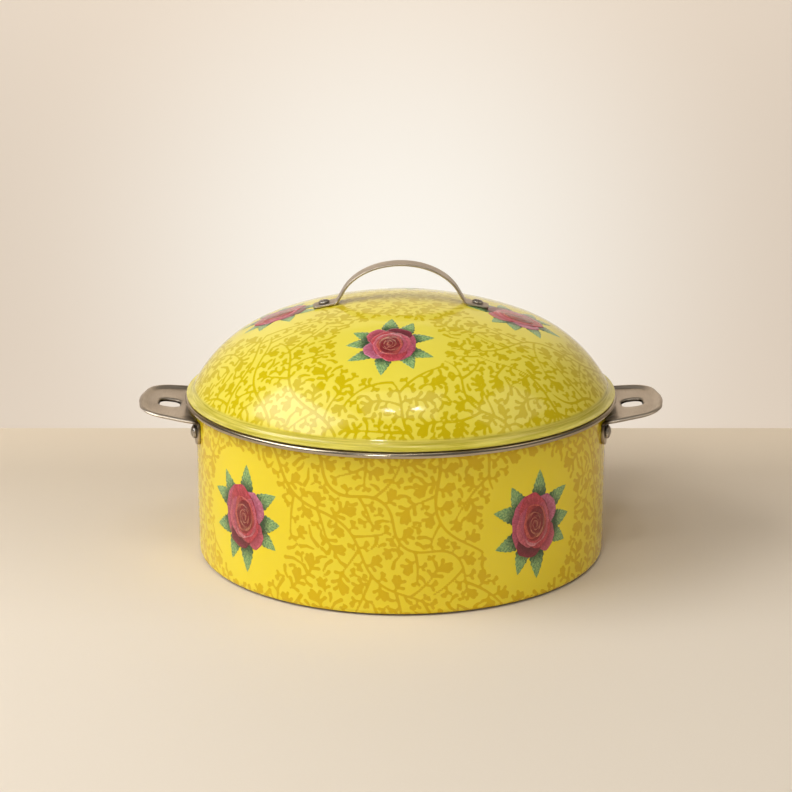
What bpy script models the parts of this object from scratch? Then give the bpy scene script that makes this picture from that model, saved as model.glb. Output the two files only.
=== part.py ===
"""A round enamelled steel casserole with a domed lift-off lid and riveted stainless steel handles.

Units are metres and +Z is up. The origin is the centre of the flat base, on the surface that the pot
stands on. +X runs out through the right side handle, and -Y is the front. The lid moves straight up
along the Z axis, which is its object origin's axis too.
"""

import math

import bmesh
import bpy
from mathutils import Matrix, Vector
from mathutils.geometry import delaunay_2d_cdt

MM = 0.001

# Driving dimensions
TURN_STEPS = 60
GAP = 0.3 * MM

BODY_RADIUS = 133.0 * MM
BODY_WALL = 1.5 * MM
FLOOR_THICKNESS = 2.0 * MM
BASE_CORNER = 3.5 * MM
FLANGE_RADIUS = 138.3 * MM
FLANGE_THICKNESS = 1.3 * MM
FLANGE_TOP = 103.4 * MM
MOUTH_FILLET = 2.0 * MM
UNDER_FILLET = 1.0 * MM

BAND_RADIUS = 139.5 * MM
BAND_WALL = 0.7 * MM
BAND_INNER_RADIUS = 134.4 * MM

LID_WALL = 1.2 * MM
LID_FLANGE_RADIUS = 138.6 * MM
LID_EDGE_RADIUS = 0.5 * MM
LID_EDGE_LIFT = 0.55 * MM
SEAT_OUTER_RADIUS = 137.0 * MM
DOME_FOOT_RADIUS = 133.5 * MM
DOME_FOOT_HEIGHT = 110.5 * MM
CROWN_RADIUS = 247.4 * MM
KNUCKLE_RADIUS = 85.9 * MM
FOOT_ANGLE = math.radians(60.7)
FLARE_DROP = 4.3 * MM
LIP_CLEARANCE = 0.7 * MM
LIP_DEPTH = 4.0 * MM
LIP_FILLET = 1.0 * MM

STRAP_WIDTH = 13.0 * MM
STRAP_THICKNESS = 1.5 * MM
ARCH_HALF_SPAN = 39.0 * MM
ARCH_RISE = 27.6 * MM
ARCH_BASE_HEIGHT = 160.0 * MM
ARCH_FOOT_ANGLE = math.radians(22.6)
FOOT_TIP = 56.0 * MM
FOOT_BEND_RADIUS = 4.0 * MM
LID_RIVET_X = 48.9 * MM

SHEET = 1.8 * MM
PLATE_REACH = 169.8 * MM
PLATE_NOSE_SAG = 0.2 * MM
PLATE_NOSE_Y = 6.0 * MM
PLATE_CORNER_Y = 29.8 * MM
PLATE_CORNER_RADIUS = 27.0 * MM
PLATE_WAIST_X = 139.0 * MM
PLATE_WAIST_Y = 39.9 * MM
PLATE_TILT = math.radians(7.5)
PANEL_HEIGHT = 95.0 * MM
RIM_RISE = 2.3 * MM
RIM_FALL = 1.2 * MM
RIM_CREST = 2.0 * MM
RIM_WIDTH = 4.8 * MM
SLOT_START = 143.4 * MM
SLOT_END = 157.6 * MM
SLOT_HALF_WIDTH = 9.8 * MM
SLOT_CORNER = 5.0 * MM
SLOT_EDGE_WIDTH = 1.6 * MM
SLOT_EDGE_DROP = 1.1 * MM
BEND_RADIUS = 7.8 * MM
BEND_END_RADIUS = 2.8 * MM
BEND_EASE_START = 19.0 * MM
BEND_EASE_LENGTH = 9.0 * MM
FLANGE_MIDDLE_BOTTOM = 83.0 * MM
TAB_AZIMUTH = math.radians(15.0)
TAB_HALF_WIDTH = 6.2 * MM
TAB_BOTTOM = 78.0 * MM

RIVET_HEIGHT = 86.5 * MM
RIVET_STEPS = 12

# Dimensions that follow from those above
FLANGE_BOTTOM = FLANGE_TOP - FLANGE_THICKNESS
BAND_TOP = FLANGE_TOP + GAP + BAND_WALL
BAND_BOTTOM = FLANGE_BOTTOM - GAP - BAND_WALL
LID_SEAT = BAND_TOP + GAP
LIP_RADIUS = BODY_RADIUS - BODY_WALL - LIP_CLEARANCE
FLANGE_FACE_RADIUS = BODY_RADIUS + GAP

MATERIALS = {
    "yellow_enamel": ((0.72, 0.58, 0.05), 0.18, 0.0),
    "brushed_steel": ((0.52, 0.47, 0.40), 0.32, 1.0),
    "rivet_steel": ((0.45, 0.42, 0.38), 0.40, 1.0),
}


# Scene and materials


def clear_scene():
    for old in list(bpy.data.objects):
        bpy.data.objects.remove(old, do_unlink=True)


def new_collection(name, hidden=False):
    collection = bpy.data.collections.new(name)
    bpy.context.scene.collection.children.link(collection)
    collection.hide_render = hidden
    return collection


def new_material(piece, finish):
    """One Principled material per piece, named after it."""
    colour, roughness, metallic = MATERIALS[finish]
    material = bpy.data.materials.new(piece + "_" + finish)
    material.use_nodes = True
    shader = material.node_tree.nodes["Principled BSDF"]
    shader.inputs["Base Color"].default_value = (*colour, 1.0)
    shader.inputs["Roughness"].default_value = roughness
    shader.inputs["Metallic"].default_value = metallic
    return material


def add_mesh(name, mesh, collection, finish=None):
    obj = bpy.data.objects.new(name, mesh)
    collection.objects.link(obj)
    if finish:
        mesh.materials.append(new_material(name, finish))
    return obj


def cut(obj, cutter, label):
    """Takes the cutter's volume out of the object."""
    modifier = obj.modifiers.new(label, "BOOLEAN")
    modifier.operation = "DIFFERENCE"
    modifier.solver = "EXACT"
    modifier.object = cutter


# Plane geometry


def arc(centre, radius, start, end, steps):
    """Points on a circle, with angles in degrees from +r towards +z."""
    points = []
    for i in range(steps + 1):
        angle = math.radians(start + (end - start) * i / steps)
        points.append(
            (centre[0] + radius * math.cos(angle), centre[1] + radius * math.sin(angle))
        )
    return points


def fillet(before, corner, after, radius, steps):
    """The arc that rounds a corner of a path, from the side of `before` to the side of `after`."""
    corner = Vector(corner)
    towards_before = (Vector(before) - corner).normalized()
    towards_after = (Vector(after) - corner).normalized()
    half = towards_before.angle(towards_after) / 2
    centre = corner + (towards_before + towards_after).normalized() * radius / math.sin(half)
    start = corner + towards_before * radius / math.tan(half) - centre
    end = corner + towards_after * radius / math.tan(half) - centre
    sweep = start.angle_signed(end)
    return [
        tuple(centre + Matrix.Rotation(-sweep * i / steps, 2) @ start)
        for i in range(steps + 1)
    ]


def ribbon(path, thickness):
    """The closed outline of a strip of even thickness, lying on the right of its path."""
    points = [Vector(p) for p in path]
    upper = []
    for i, point in enumerate(points):
        ahead = (points[min(i + 1, len(points) - 1)] - point).normalized()
        behind = (point - points[max(i - 1, 0)]).normalized()
        along = (ahead + behind).normalized()
        upper.append(point + Vector((along.y, -along.x)) * thickness)
    return points + upper[::-1]


# Turned shapes


def turned(name, profile, collection, finish=None, closed=False, steps=TURN_STEPS):
    """A profile of (radius, height) points, swept round Z. Its outer side runs downwards."""
    mesh = bpy.data.meshes.new(name)
    points = [(r, 0.0, z) for r, z in profile]
    edges = [(i, i + 1) for i in range(len(points) - 1)]
    if closed:
        edges.append((len(points) - 1, 0))
    mesh.from_pydata(points, edges, [])
    obj = add_mesh(name, mesh, collection, finish)
    screw = obj.modifiers.new("turn", "SCREW")
    screw.axis = "Z"
    screw.steps = steps
    screw.render_steps = steps
    screw.use_merge_vertices = True
    screw.merge_threshold = 0.00001
    screw.use_smooth_shade = True
    return obj


def body_profile():
    inner = BODY_RADIUS - BODY_WALL
    inner_corner = BASE_CORNER - BODY_WALL / 2
    return (
        [(0.0, FLOOR_THICKNESS)]
        + arc((inner - inner_corner, FLOOR_THICKNESS + inner_corner), inner_corner, -90, 0, 3)
        + arc((inner + MOUTH_FILLET, FLANGE_TOP - MOUTH_FILLET), MOUTH_FILLET, 180, 90, 2)
        + arc((FLANGE_RADIUS - FLANGE_THICKNESS / 2, FLANGE_TOP - FLANGE_THICKNESS / 2),
              FLANGE_THICKNESS / 2, 90, -90, 2)
        + arc((BODY_RADIUS + UNDER_FILLET, FLANGE_BOTTOM - UNDER_FILLET), UNDER_FILLET, 90, 180, 2)
        + arc((BODY_RADIUS - BASE_CORNER, BASE_CORNER), BASE_CORNER, 0, -90, 3)
        + [(0.0, 0.0)]
    )


def band_profile():
    """A C section that wraps the pot's flange, open towards the axis."""
    slot_radius = BAND_RADIUS - BAND_WALL
    return (
        [(BAND_INNER_RADIUS, BAND_TOP)]
        + arc((BAND_RADIUS - BAND_WALL, BAND_TOP - BAND_WALL), BAND_WALL, 90, 0, 2)
        + arc((BAND_RADIUS - BAND_WALL, BAND_BOTTOM + BAND_WALL), BAND_WALL, 0, -90, 2)
        + [
            (BAND_INNER_RADIUS, BAND_BOTTOM),
            (BAND_INNER_RADIUS, BAND_BOTTOM + BAND_WALL),
            (slot_radius, BAND_BOTTOM + BAND_WALL),
            (slot_radius, BAND_TOP - BAND_WALL),
            (BAND_INNER_RADIUS, BAND_TOP - BAND_WALL),
        ]
    )


def dome_arcs(inset):
    """The dome's section from apex to foot, moved in from its outside by `inset`.

    A large crown arc meets a smaller knuckle arc at one tangent point.
    """
    reach = CROWN_RADIUS - KNUCKLE_RADIUS
    joint = math.asin((DOME_FOOT_RADIUS - KNUCKLE_RADIUS * math.sin(FOOT_ANGLE)) / reach)
    knuckle_height = DOME_FOOT_HEIGHT - KNUCKLE_RADIUS * math.cos(FOOT_ANGLE)
    crown_centre = (0.0, knuckle_height - reach * math.cos(joint))
    knuckle_centre = (reach * math.sin(joint), knuckle_height)
    joint_angle = 90 - math.degrees(joint)
    foot_angle = 90 - math.degrees(FOOT_ANGLE)
    return arc(crown_centre, CROWN_RADIUS - inset, 90, joint_angle, 4) + arc(
        knuckle_centre, KNUCKLE_RADIUS - inset, joint_angle, foot_angle, 5
    )[1:]


def flare(inset, start, end, steps):
    """The hollow quarter ellipse between the dome's foot and the flange's edge."""
    width = LID_FLANGE_RADIUS - LID_EDGE_RADIUS - DOME_FOOT_RADIUS
    points = []
    for i in range(steps + 1):
        angle = math.radians(start + (end - start) * i / steps)
        points.append(
            (
                DOME_FOOT_RADIUS + width - (width + inset) * math.cos(angle),
                DOME_FOOT_HEIGHT - (FLARE_DROP + inset) * math.sin(angle),
            )
        )
    return points


def lid_profile():
    """Dome, flared flange, seat and locating lip, as one sheet folded back under its own edge."""
    edge = (LID_FLANGE_RADIUS - LID_EDGE_RADIUS, LID_SEAT + LID_EDGE_LIFT + LID_EDGE_RADIUS)
    lip_inside = LIP_RADIUS - LID_WALL
    lip_bottom = LID_SEAT - LIP_DEPTH
    fold_top = LID_SEAT + LID_WALL
    return (
        dome_arcs(0.0)
        + flare(0.0, 15, 80, 3)
        + arc(edge, LID_EDGE_RADIUS, 80, -90, 2)
        + [(SEAT_OUTER_RADIUS, LID_SEAT)]
        + arc((LIP_RADIUS + LIP_FILLET, LID_SEAT - LIP_FILLET), LIP_FILLET, 90, 180, 2)
        + arc((LIP_RADIUS - LID_WALL / 2, lip_bottom + LID_WALL / 2), LID_WALL / 2, 0, -180, 2)
        + arc((lip_inside + LIP_FILLET, fold_top - LIP_FILLET), LIP_FILLET, 180, 90, 1)
        + flare(LID_WALL, 50, 12, 2)
        + dome_arcs(LID_WALL)[::-1]
    )


def dome_point(x):
    """Height and slope angle of the crown's outside at a distance from the axis."""
    apex = dome_arcs(0.0)[0][1]
    angle = math.asin(x / CROWN_RADIUS)
    return apex - CROWN_RADIUS * (1 - math.cos(angle)), angle


# Rivets


def rivet_profile(head_radius, head_height, shank_radius, grip, tail_radius, tail_height):
    """A rivet along Z with its head's underside at 0 and its tail head below the grip."""
    brim = head_height * 0.3
    head = [
        (head_radius * math.sin(math.radians(a)), brim + (head_height - brim) * math.cos(math.radians(a)))
        for a in range(0, 91, 30)
    ]
    return head + [
        (head_radius, 0.0),
        (shank_radius, 0.0),
        (shank_radius, -grip),
        (tail_radius, -grip),
        (tail_radius, -grip - tail_height * 0.5),
        (tail_radius * 0.75, -grip - tail_height),
        (0.0, -grip - tail_height),
    ]


SIDE_RIVET = {
    "head_radius": 4.4 * MM,
    "head_height": 2.9 * MM,
    "shank_radius": 2.2 * MM,
    "grip": SHEET + BODY_WALL + 3.4 * GAP,
    "tail_radius": 4.4 * MM,
    "tail_height": 1.1 * MM,
}
LID_RIVET = {
    "head_radius": 3.6 * MM,
    "head_height": 1.9 * MM,
    "shank_radius": 1.8 * MM,
    "grip": STRAP_THICKNESS + LID_WALL + 3.4 * GAP,
    "tail_radius": 3.8 * MM,
    "tail_height": 1.0 * MM,
}


def place_along(obj, position, outward):
    """Puts an object's Z axis along `outward`, with its origin at `position`."""
    obj.location = position
    obj.rotation_mode = "QUATERNION"
    obj.rotation_quaternion = Vector(outward).to_track_quat("Z", "Y")


def add_rivet(name, shape, position, outward, collection):
    rivet = turned(name, rivet_profile(**shape), collection, "rivet_steel", steps=RIVET_STEPS)
    place_along(rivet, position, outward)
    return rivet


def add_hole_cutter(name, shape, position, outward, collection):
    """A cylinder that clears a rivet's shank through every sheet that it holds."""
    mesh = bpy.data.meshes.new(name)
    bm = bmesh.new()
    radius = shape["shank_radius"] + GAP
    bmesh.ops.create_cone(
        bm, cap_ends=True, segments=RIVET_STEPS, radius1=radius, radius2=radius,
        depth=4 * shape["grip"],
    )
    bm.to_mesh(mesh)
    bm.free()
    cutter = add_mesh(name, mesh, collection)
    cutter.hide_render = True
    cutter.display_type = "WIRE"
    place_along(cutter, position, outward)
    return cutter


# Lid handle


def strap_path():
    """The underside of the lid strap from its right foot's tip to its left foot's tip, as (x, z)."""
    height, slope = dome_point(LID_RIVET_X)
    lift = 1.3 * GAP
    rivet_x = LID_RIVET_X + lift * math.sin(slope)
    rivet_z = height + lift * math.cos(slope)
    arch = []
    for i in range(13):
        angle = ARCH_FOOT_ANGLE + (math.pi / 2 - ARCH_FOOT_ANGLE) * i / 12
        arch.append(
            (ARCH_HALF_SPAN * math.cos(angle), ARCH_BASE_HEIGHT + ARCH_RISE * math.sin(angle))
        )
    tip = (FOOT_TIP, rivet_z - (FOOT_TIP - rivet_x) * math.tan(slope))
    rise = ARCH_RISE / ARCH_HALF_SPAN / math.tan(ARCH_FOOT_ANGLE)
    corner_x = (arch[0][1] + rise * arch[0][0] - rivet_z - rivet_x * math.tan(slope)) / (
        rise - math.tan(slope)
    )
    corner = (corner_x, rivet_z + (rivet_x - corner_x) * math.tan(slope))
    half = [tip] + fillet(tip, corner, arch[0], FOOT_BEND_RADIUS, 4) + arch
    return half + [(-x, z) for x, z in half[-2::-1]]


def flat_outline_mesh(name, outline, width):
    """A closed outline in the XZ plane, filled and given a width along Y, as a welded mesh."""
    curve = bpy.data.curves.new(name, "CURVE")
    curve.dimensions = "2D"
    curve.fill_mode = "BOTH"
    curve.extrude = width / 2
    spline = curve.splines.new("POLY")
    spline.points.add(len(outline) - 1)
    for point, (x, z) in zip(spline.points, outline):
        point.co = (x, z, 0.0, 1.0)
    spline.use_cyclic_u = True
    guide = bpy.data.objects.new(name + "_outline", curve)
    bpy.context.scene.collection.objects.link(guide)
    bpy.context.view_layer.update()
    graph = bpy.context.evaluated_depsgraph_get()
    mesh = bpy.data.meshes.new_from_object(guide.evaluated_get(graph), depsgraph=graph)
    mesh.transform(Matrix.Rotation(math.pi / 2, 4, "X"))
    bpy.data.objects.remove(guide)
    bm = bmesh.new()
    bm.from_mesh(mesh)
    bmesh.ops.remove_doubles(bm, verts=bm.verts, dist=0.00001)
    bmesh.ops.recalc_face_normals(bm, faces=bm.faces)
    bm.to_mesh(mesh)
    bm.free()
    return mesh


def add_lid_handle(parts):
    mesh = flat_outline_mesh("lid_handle", ribbon(strap_path(), STRAP_THICKNESS), STRAP_WIDTH)
    return add_mesh("lid_handle", mesh, parts, "brushed_steel")


# Side handles


def slot_outline(outset):
    """The finger slot's rounded rectangle in plan, widened by `outset`."""
    corner = SLOT_CORNER + outset
    inset_x = (SLOT_START + SLOT_CORNER, SLOT_END - SLOT_CORNER)
    inset_y = SLOT_HALF_WIDTH - SLOT_CORNER
    return (
        arc((inset_x[1], inset_y), corner, 0, 90, 4)
        + arc((inset_x[0], inset_y), corner, 90, 180, 4)
        + arc((inset_x[0], -inset_y), corner, 180, 270, 4)
        + arc((inset_x[1], -inset_y), corner, 270, 360, 4)
    )


def flange_columns():
    """Distances along the pot's wall from the handle's middle to each column of its flange."""
    ear = BODY_RADIUS * TAB_AZIMUTH
    ear_columns = [ear + TAB_HALF_WIDTH * share for share in (-1.5, -1.0, -0.7, -0.27, 0.27, 0.7, 1.0)]
    middle = [ear_columns[0] * i / 4 for i in range(1, 4)]
    half = middle + ear_columns
    return [-along for along in half[::-1]] + [0.0] + half


def bend_radius(along):
    """The fold to the flange, which is wide in the middle and tighter at both ends."""
    share = min(1.0, max(0.0, (abs(along) - BEND_EASE_START) / BEND_EASE_LENGTH))
    ease = share * share * (3 - 2 * share)
    return BEND_RADIUS + (BEND_END_RADIUS - BEND_RADIUS) * ease


def flange_bottom(along):
    """The flange's lower edge: a rounded ear round each rivet and a straight stretch between them."""
    across = min(1.0, abs(abs(along) - BODY_RADIUS * TAB_AZIMUTH) / TAB_HALF_WIDTH)
    if abs(along) < BODY_RADIUS * TAB_AZIMUTH - 1.2 * TAB_HALF_WIDTH:
        return FLANGE_MIDDLE_BOTTOM
    return TAB_BOTTOM + TAB_HALF_WIDTH * (1 - math.sqrt(max(0.0, 1 - across**2)))


def wall_point(along, radius):
    """A point in plan at a distance from the pot's axis, opposite a place along its wall."""
    angle = along / BODY_RADIUS
    return (radius * math.cos(angle), radius * math.sin(angle))


def fold_line():
    """Where the plate's upper face starts to bend down, in plan, from front to rear."""
    return [
        wall_point(along, FLANGE_FACE_RADIUS + bend_radius(along)) for along in flange_columns()
    ]


def plate_rim():
    """The plate's free edge in plan, from the fold's front end round its outside to the rear end."""
    end = fold_line()[-1]
    nose = (PLATE_REACH - PLATE_NOSE_SAG, PLATE_NOSE_Y)
    waist = (PLATE_WAIST_X, PLATE_WAIST_Y)
    half = fillet(nose, (PLATE_REACH, PLATE_CORNER_Y), waist, PLATE_CORNER_RADIUS, 7) + [waist, end]
    return [(x, -y) for x, y in half[::-1]] + [(PLATE_REACH, 0.0)] + half


def distance_to(point, path):
    """The shortest distance in plan from a point to an open path."""
    point = Vector(point)
    nearest = math.inf
    for first, second in zip(path, path[1:]):
        start = Vector(first)
        along = Vector(second) - start
        share = min(1.0, max(0.0, (point - start).dot(along) / along.length_squared))
        nearest = min(nearest, (start + along * share - point).length)
    return nearest


def rim_rise(distance):
    """The raised rim's height over the panel at a distance in from the plate's edge."""
    if distance < RIM_CREST:
        return RIM_RISE - RIM_FALL * (1 - distance / RIM_CREST) ** 2
    share = min(1.0, (distance - RIM_CREST) / (RIM_WIDTH - RIM_CREST))
    return RIM_RISE * (1 + math.cos(math.pi * share)) / 2


def slot_fall(distance):
    """How far the slot's rolled edge has fallen at a distance out from the slot."""
    share = min(1.0, distance / SLOT_EDGE_WIDTH)
    return SLOT_EDGE_DROP * (1 - math.sqrt(1 - (1 - share) ** 2))


def plate_height(x, y):
    """The upper face: a panel that climbs outwards, with a raised rim and a rolled slot edge."""
    slot = slot_outline(0.0)
    shape = rim_rise(distance_to((x, y), plate_rim())) - slot_fall(distance_to((x, y), slot + slot[:1]))
    return PANEL_HEIGHT + (x - SLOT_START) * math.tan(PLATE_TILT) + shape


def inside(point, loop):
    """Whether a point lies inside a closed loop, by counting the sides that it crosses."""
    crossings = 0
    for (x1, y1), (x2, y2) in zip(loop, loop[1:] + loop[:1]):
        if (y1 > point[1]) != (y2 > point[1]):
            crossings += point[0] < x1 + (x2 - x1) * (point[1] - y1) / (y2 - y1)
    return crossings % 2 == 1


def add_plate(bm):
    """The plate's upper face with its slot, as far as the fold."""
    rim = plate_rim()
    outline = rim + fold_line()[-2:0:-1]
    slot = slot_outline(0.0)
    points = outline + slot
    edges = [(i, (i + 1) % len(outline)) for i in range(len(outline))]
    edges += [
        (len(outline) + i, len(outline) + (i + 1) % len(slot)) for i in range(len(slot))
    ]
    for share in (0.2, 0.5, 1.0):
        points += slot_outline(SLOT_EDGE_WIDTH * share)
    for inset in (RIM_CREST / 2, RIM_CREST, (RIM_CREST + RIM_WIDTH) / 2, RIM_WIDTH):
        for before, point, after in zip(rim, rim[1:], rim[2:]):
            along = (Vector(after) - Vector(before)).normalized()
            points.append((point[0] - along.y * inset, point[1] + along.x * inset))
    plan, _, triangles, *_ = delaunay_2d_cdt([Vector(p) for p in points], edges, [], 1, 1e-7)
    verts = [bm.verts.new((p.x, p.y, plate_height(p.x, p.y))) for p in plan]
    for triangle in triangles:
        centre = sum((plan[i] for i in triangle), Vector((0.0, 0.0))) / 3
        if not inside(centre, slot):
            bm.faces.new([verts[i] for i in triangle])


def add_flange(bm):
    """The bend below the fold line and the flange that lies against the pot's wall."""
    columns = flange_columns()
    grid = []
    for i in range(5):
        turn = math.radians(90 * i / 4)
        row = []
        for along, fold in zip(columns, fold_line()):
            radius = bend_radius(along)
            x, y = wall_point(along, FLANGE_FACE_RADIUS + radius * (1 - math.sin(turn)))
            row.append(bm.verts.new((x, y, plate_height(*fold) - radius * (1 - math.cos(turn)))))
        grid.append(row)
    bend_end = [vert.co.z for vert in grid[-1]]
    for share in (0.25, 1.0):
        row = []
        for along, top in zip(columns, bend_end):
            x, y = wall_point(along, FLANGE_FACE_RADIUS)
            row.append(bm.verts.new((x, y, top + (flange_bottom(along) - top) * share)))
        grid.append(row)
    for upper, lower in zip(grid, grid[1:]):
        for i in range(len(columns) - 1):
            bm.faces.new([upper[i], lower[i], lower[i + 1], upper[i + 1]])


def add_side_handle(name, turn, parts):
    """One pressed handle: its upper face as a sheet, given its thickness downwards."""
    mesh = bpy.data.meshes.new(name)
    bm = bmesh.new()
    add_plate(bm)
    add_flange(bm)
    bmesh.ops.remove_doubles(bm, verts=bm.verts, dist=0.00001)
    bmesh.ops.recalc_face_normals(bm, faces=bm.faces)
    bm.to_mesh(mesh)
    bm.free()
    handle = add_mesh(name, mesh, parts, "brushed_steel")
    handle.rotation_euler.z = turn
    thicken = handle.modifiers.new("sheet", "SOLIDIFY")
    thicken.thickness = SHEET
    thicken.offset = -1.0
    return handle


# Assembly


def fasten_side_handles(pot, parts, cutters):
    """Two handles, each held by a front and a rear rivet through its tabs and the pot's wall."""
    for side, turn in (("right", 0.0), ("left", math.pi)):
        handle = add_side_handle("side_handle_" + side, turn, parts)
        for end, azimuth in (("rear", TAB_AZIMUTH), ("front", -TAB_AZIMUTH)):
            angle = azimuth if side == "right" else math.pi - azimuth
            outward = Vector((math.cos(angle), math.sin(angle), 0.0))
            seat = BODY_RADIUS + SHEET + 2.2 * GAP
            position = outward * seat + Vector((0.0, 0.0, RIVET_HEIGHT))
            name = f"side_rivet_{side}_{end}"
            add_rivet(name, SIDE_RIVET, position, outward, parts)
            cutter = add_hole_cutter(name + "_hole", SIDE_RIVET, position, outward, cutters)
            cut(handle, cutter, "hole_" + end)
            cut(pot, cutter, f"hole_{side}_{end}")


def fasten_lid_handle(lid, parts, cutters):
    """The strap and the two rivets that hold its feet to the dome, square to its surface."""
    handle = add_lid_handle(parts)
    height, slope = dome_point(LID_RIVET_X)
    for side, sign in (("right", 1), ("left", -1)):
        outward = Vector((sign * math.sin(slope), 0.0, math.cos(slope)))
        foot = Vector((sign * LID_RIVET_X, 0.0, height))
        position = foot + outward * (STRAP_THICKNESS + 2.4 * GAP)
        name = "lid_rivet_" + side
        add_rivet(name, LID_RIVET, position, outward, parts)
        cutter = add_hole_cutter(name + "_hole", LID_RIVET, position, outward, cutters)
        cut(handle, cutter, "hole_" + side)
        cut(lid, cutter, "hole_" + side)


def build():
    clear_scene()
    parts = new_collection("casserole")
    cutters = new_collection("casserole_cutters", hidden=True)
    pot = turned("pot_body", body_profile(), parts, "yellow_enamel")
    turned("pot_rim_band", band_profile(), parts, "brushed_steel", closed=True)
    lid = turned("lid_shell", lid_profile(), parts, "yellow_enamel")
    fasten_side_handles(pot, parts, cutters)
    fasten_lid_handle(lid, parts, cutters)


build()
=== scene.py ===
"""The looks of a round enamelled casserole: printed yellow enamel, rose prints, brushed steel, rivets.

Units are metres, +Z is up and -Y is the front. The leaf pattern and the roses are laid out in
millimetres on flat maps of the surfaces that carry them: the pot's wall rolled out from its front,
and the lid's dome spread out from its apex.
"""

import math

import bmesh
import bpy
import numpy as np
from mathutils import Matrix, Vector
from mathutils.geometry import delaunay_2d_cdt


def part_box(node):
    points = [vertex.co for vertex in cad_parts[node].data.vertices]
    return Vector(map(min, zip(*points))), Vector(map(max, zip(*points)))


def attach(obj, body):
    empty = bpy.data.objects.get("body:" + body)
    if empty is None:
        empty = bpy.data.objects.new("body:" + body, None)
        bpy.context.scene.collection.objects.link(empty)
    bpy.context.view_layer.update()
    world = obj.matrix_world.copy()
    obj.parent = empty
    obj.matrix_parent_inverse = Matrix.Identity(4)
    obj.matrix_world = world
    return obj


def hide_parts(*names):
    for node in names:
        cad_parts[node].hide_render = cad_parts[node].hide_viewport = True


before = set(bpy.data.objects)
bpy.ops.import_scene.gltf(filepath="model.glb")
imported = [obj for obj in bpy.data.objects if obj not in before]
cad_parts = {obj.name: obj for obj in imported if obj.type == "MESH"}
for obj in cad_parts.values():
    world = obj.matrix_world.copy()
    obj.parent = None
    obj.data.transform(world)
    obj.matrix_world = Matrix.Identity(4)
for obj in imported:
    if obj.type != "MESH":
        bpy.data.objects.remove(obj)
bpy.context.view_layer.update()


def display_colour(red, green, blue):
    """A linear colour from the 0 to 255 values that a display shows."""
    shares = [value / 255 for value in (red, green, blue)]
    linear = [s / 12.92 if s <= 0.04045 else ((s + 0.055) / 1.055) ** 2.4 for s in shares]
    return (*linear, 1.0)


MM = 0.001
GAP = 0.3 * MM

# Kinds of per-point attributes, by how many numbers a point has
ATTRIBUTE_KINDS = {1: ("FLOAT", "value"), 3: ("FLOAT_VECTOR", "vector"), 4: ("FLOAT_COLOR", "color")}

# Pot
TURN_STEPS = 768
ROW_PITCH = 1.12 * MM
BODY_RADIUS = 133.0 * MM
BODY_WALL = 1.5 * MM
FLOOR_THICKNESS = 2.0 * MM
BASE_CORNER = 3.5 * MM
FLANGE_RADIUS = 138.3 * MM
FLANGE_THICKNESS = 1.3 * MM
FLANGE_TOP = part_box("pot_body")[1].z
FLANGE_BOTTOM = FLANGE_TOP - FLANGE_THICKNESS
MOUTH_FILLET = 2.0 * MM
UNDER_FILLET = 1.0 * MM

# Band round the rim
BAND_WALL = 0.7 * MM
BAND_INNER_RADIUS = 134.4 * MM
BAND_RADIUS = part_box("pot_rim_band")[1].x
BAND_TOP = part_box("pot_rim_band")[1].z
BAND_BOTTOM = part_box("pot_rim_band")[0].z
BAND_CROWN = 0.3 * MM
BAND_ROUND = 0.9 * MM
BAND_STEPS = 360

# Lid
DOME_CELLS = 264
LID_WALL = 1.2 * MM
LID_SEAT = BAND_TOP + GAP
LID_FLANGE_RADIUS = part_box("lid_shell")[1].x
LID_EDGE_RADIUS = 0.5 * MM
LID_EDGE_LIFT = 0.55 * MM
SEAT_OUTER_RADIUS = 137.0 * MM
DOME_FOOT_RADIUS = 133.5 * MM
DOME_FOOT_HEIGHT = 110.5 * MM
CROWN_RADIUS = 247.4 * MM
KNUCKLE_RADIUS = 85.9 * MM
FOOT_ANGLE = math.radians(60.7)
FLARE_DROP = 4.3 * MM
LIP_RADIUS = BODY_RADIUS - BODY_WALL - 0.7 * MM
LIP_DEPTH = 4.0 * MM
LIP_FILLET = 1.0 * MM

# Where the crown's arc meets the knuckle's arc
KNUCKLE_REACH = CROWN_RADIUS - KNUCKLE_RADIUS
JOINT_ANGLE = math.asin((DOME_FOOT_RADIUS - KNUCKLE_RADIUS * math.sin(FOOT_ANGLE)) / KNUCKLE_REACH)
KNUCKLE_HEIGHT = DOME_FOOT_HEIGHT - KNUCKLE_RADIUS * math.cos(FOOT_ANGLE)
CROWN_HEIGHT = KNUCKLE_HEIGHT - KNUCKLE_REACH * math.cos(JOINT_ANGLE)
CROWN_ARC = CROWN_RADIUS * JOINT_ANGLE
DOME_ARC = CROWN_ARC + KNUCKLE_RADIUS * (FOOT_ANGLE - JOINT_ANGLE)

# Lid strap
STRAP_WIDTH = 13.0 * MM
STRAP_THICKNESS = 1.5 * MM
ARCH_HALF_SPAN = 39.0 * MM
ARCH_RISE = 27.6 * MM
ARCH_BASE_HEIGHT = 160.0 * MM
ARCH_FOOT_ANGLE = math.radians(22.6)
FOOT_TIP = 56.0 * MM
FOOT_BEND_RADIUS = 4.0 * MM
FOOT_CORNER = 2.6 * MM
STRAP_EDGE = 0.5 * MM
LID_RIVET_X = 48.9 * MM

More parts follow.
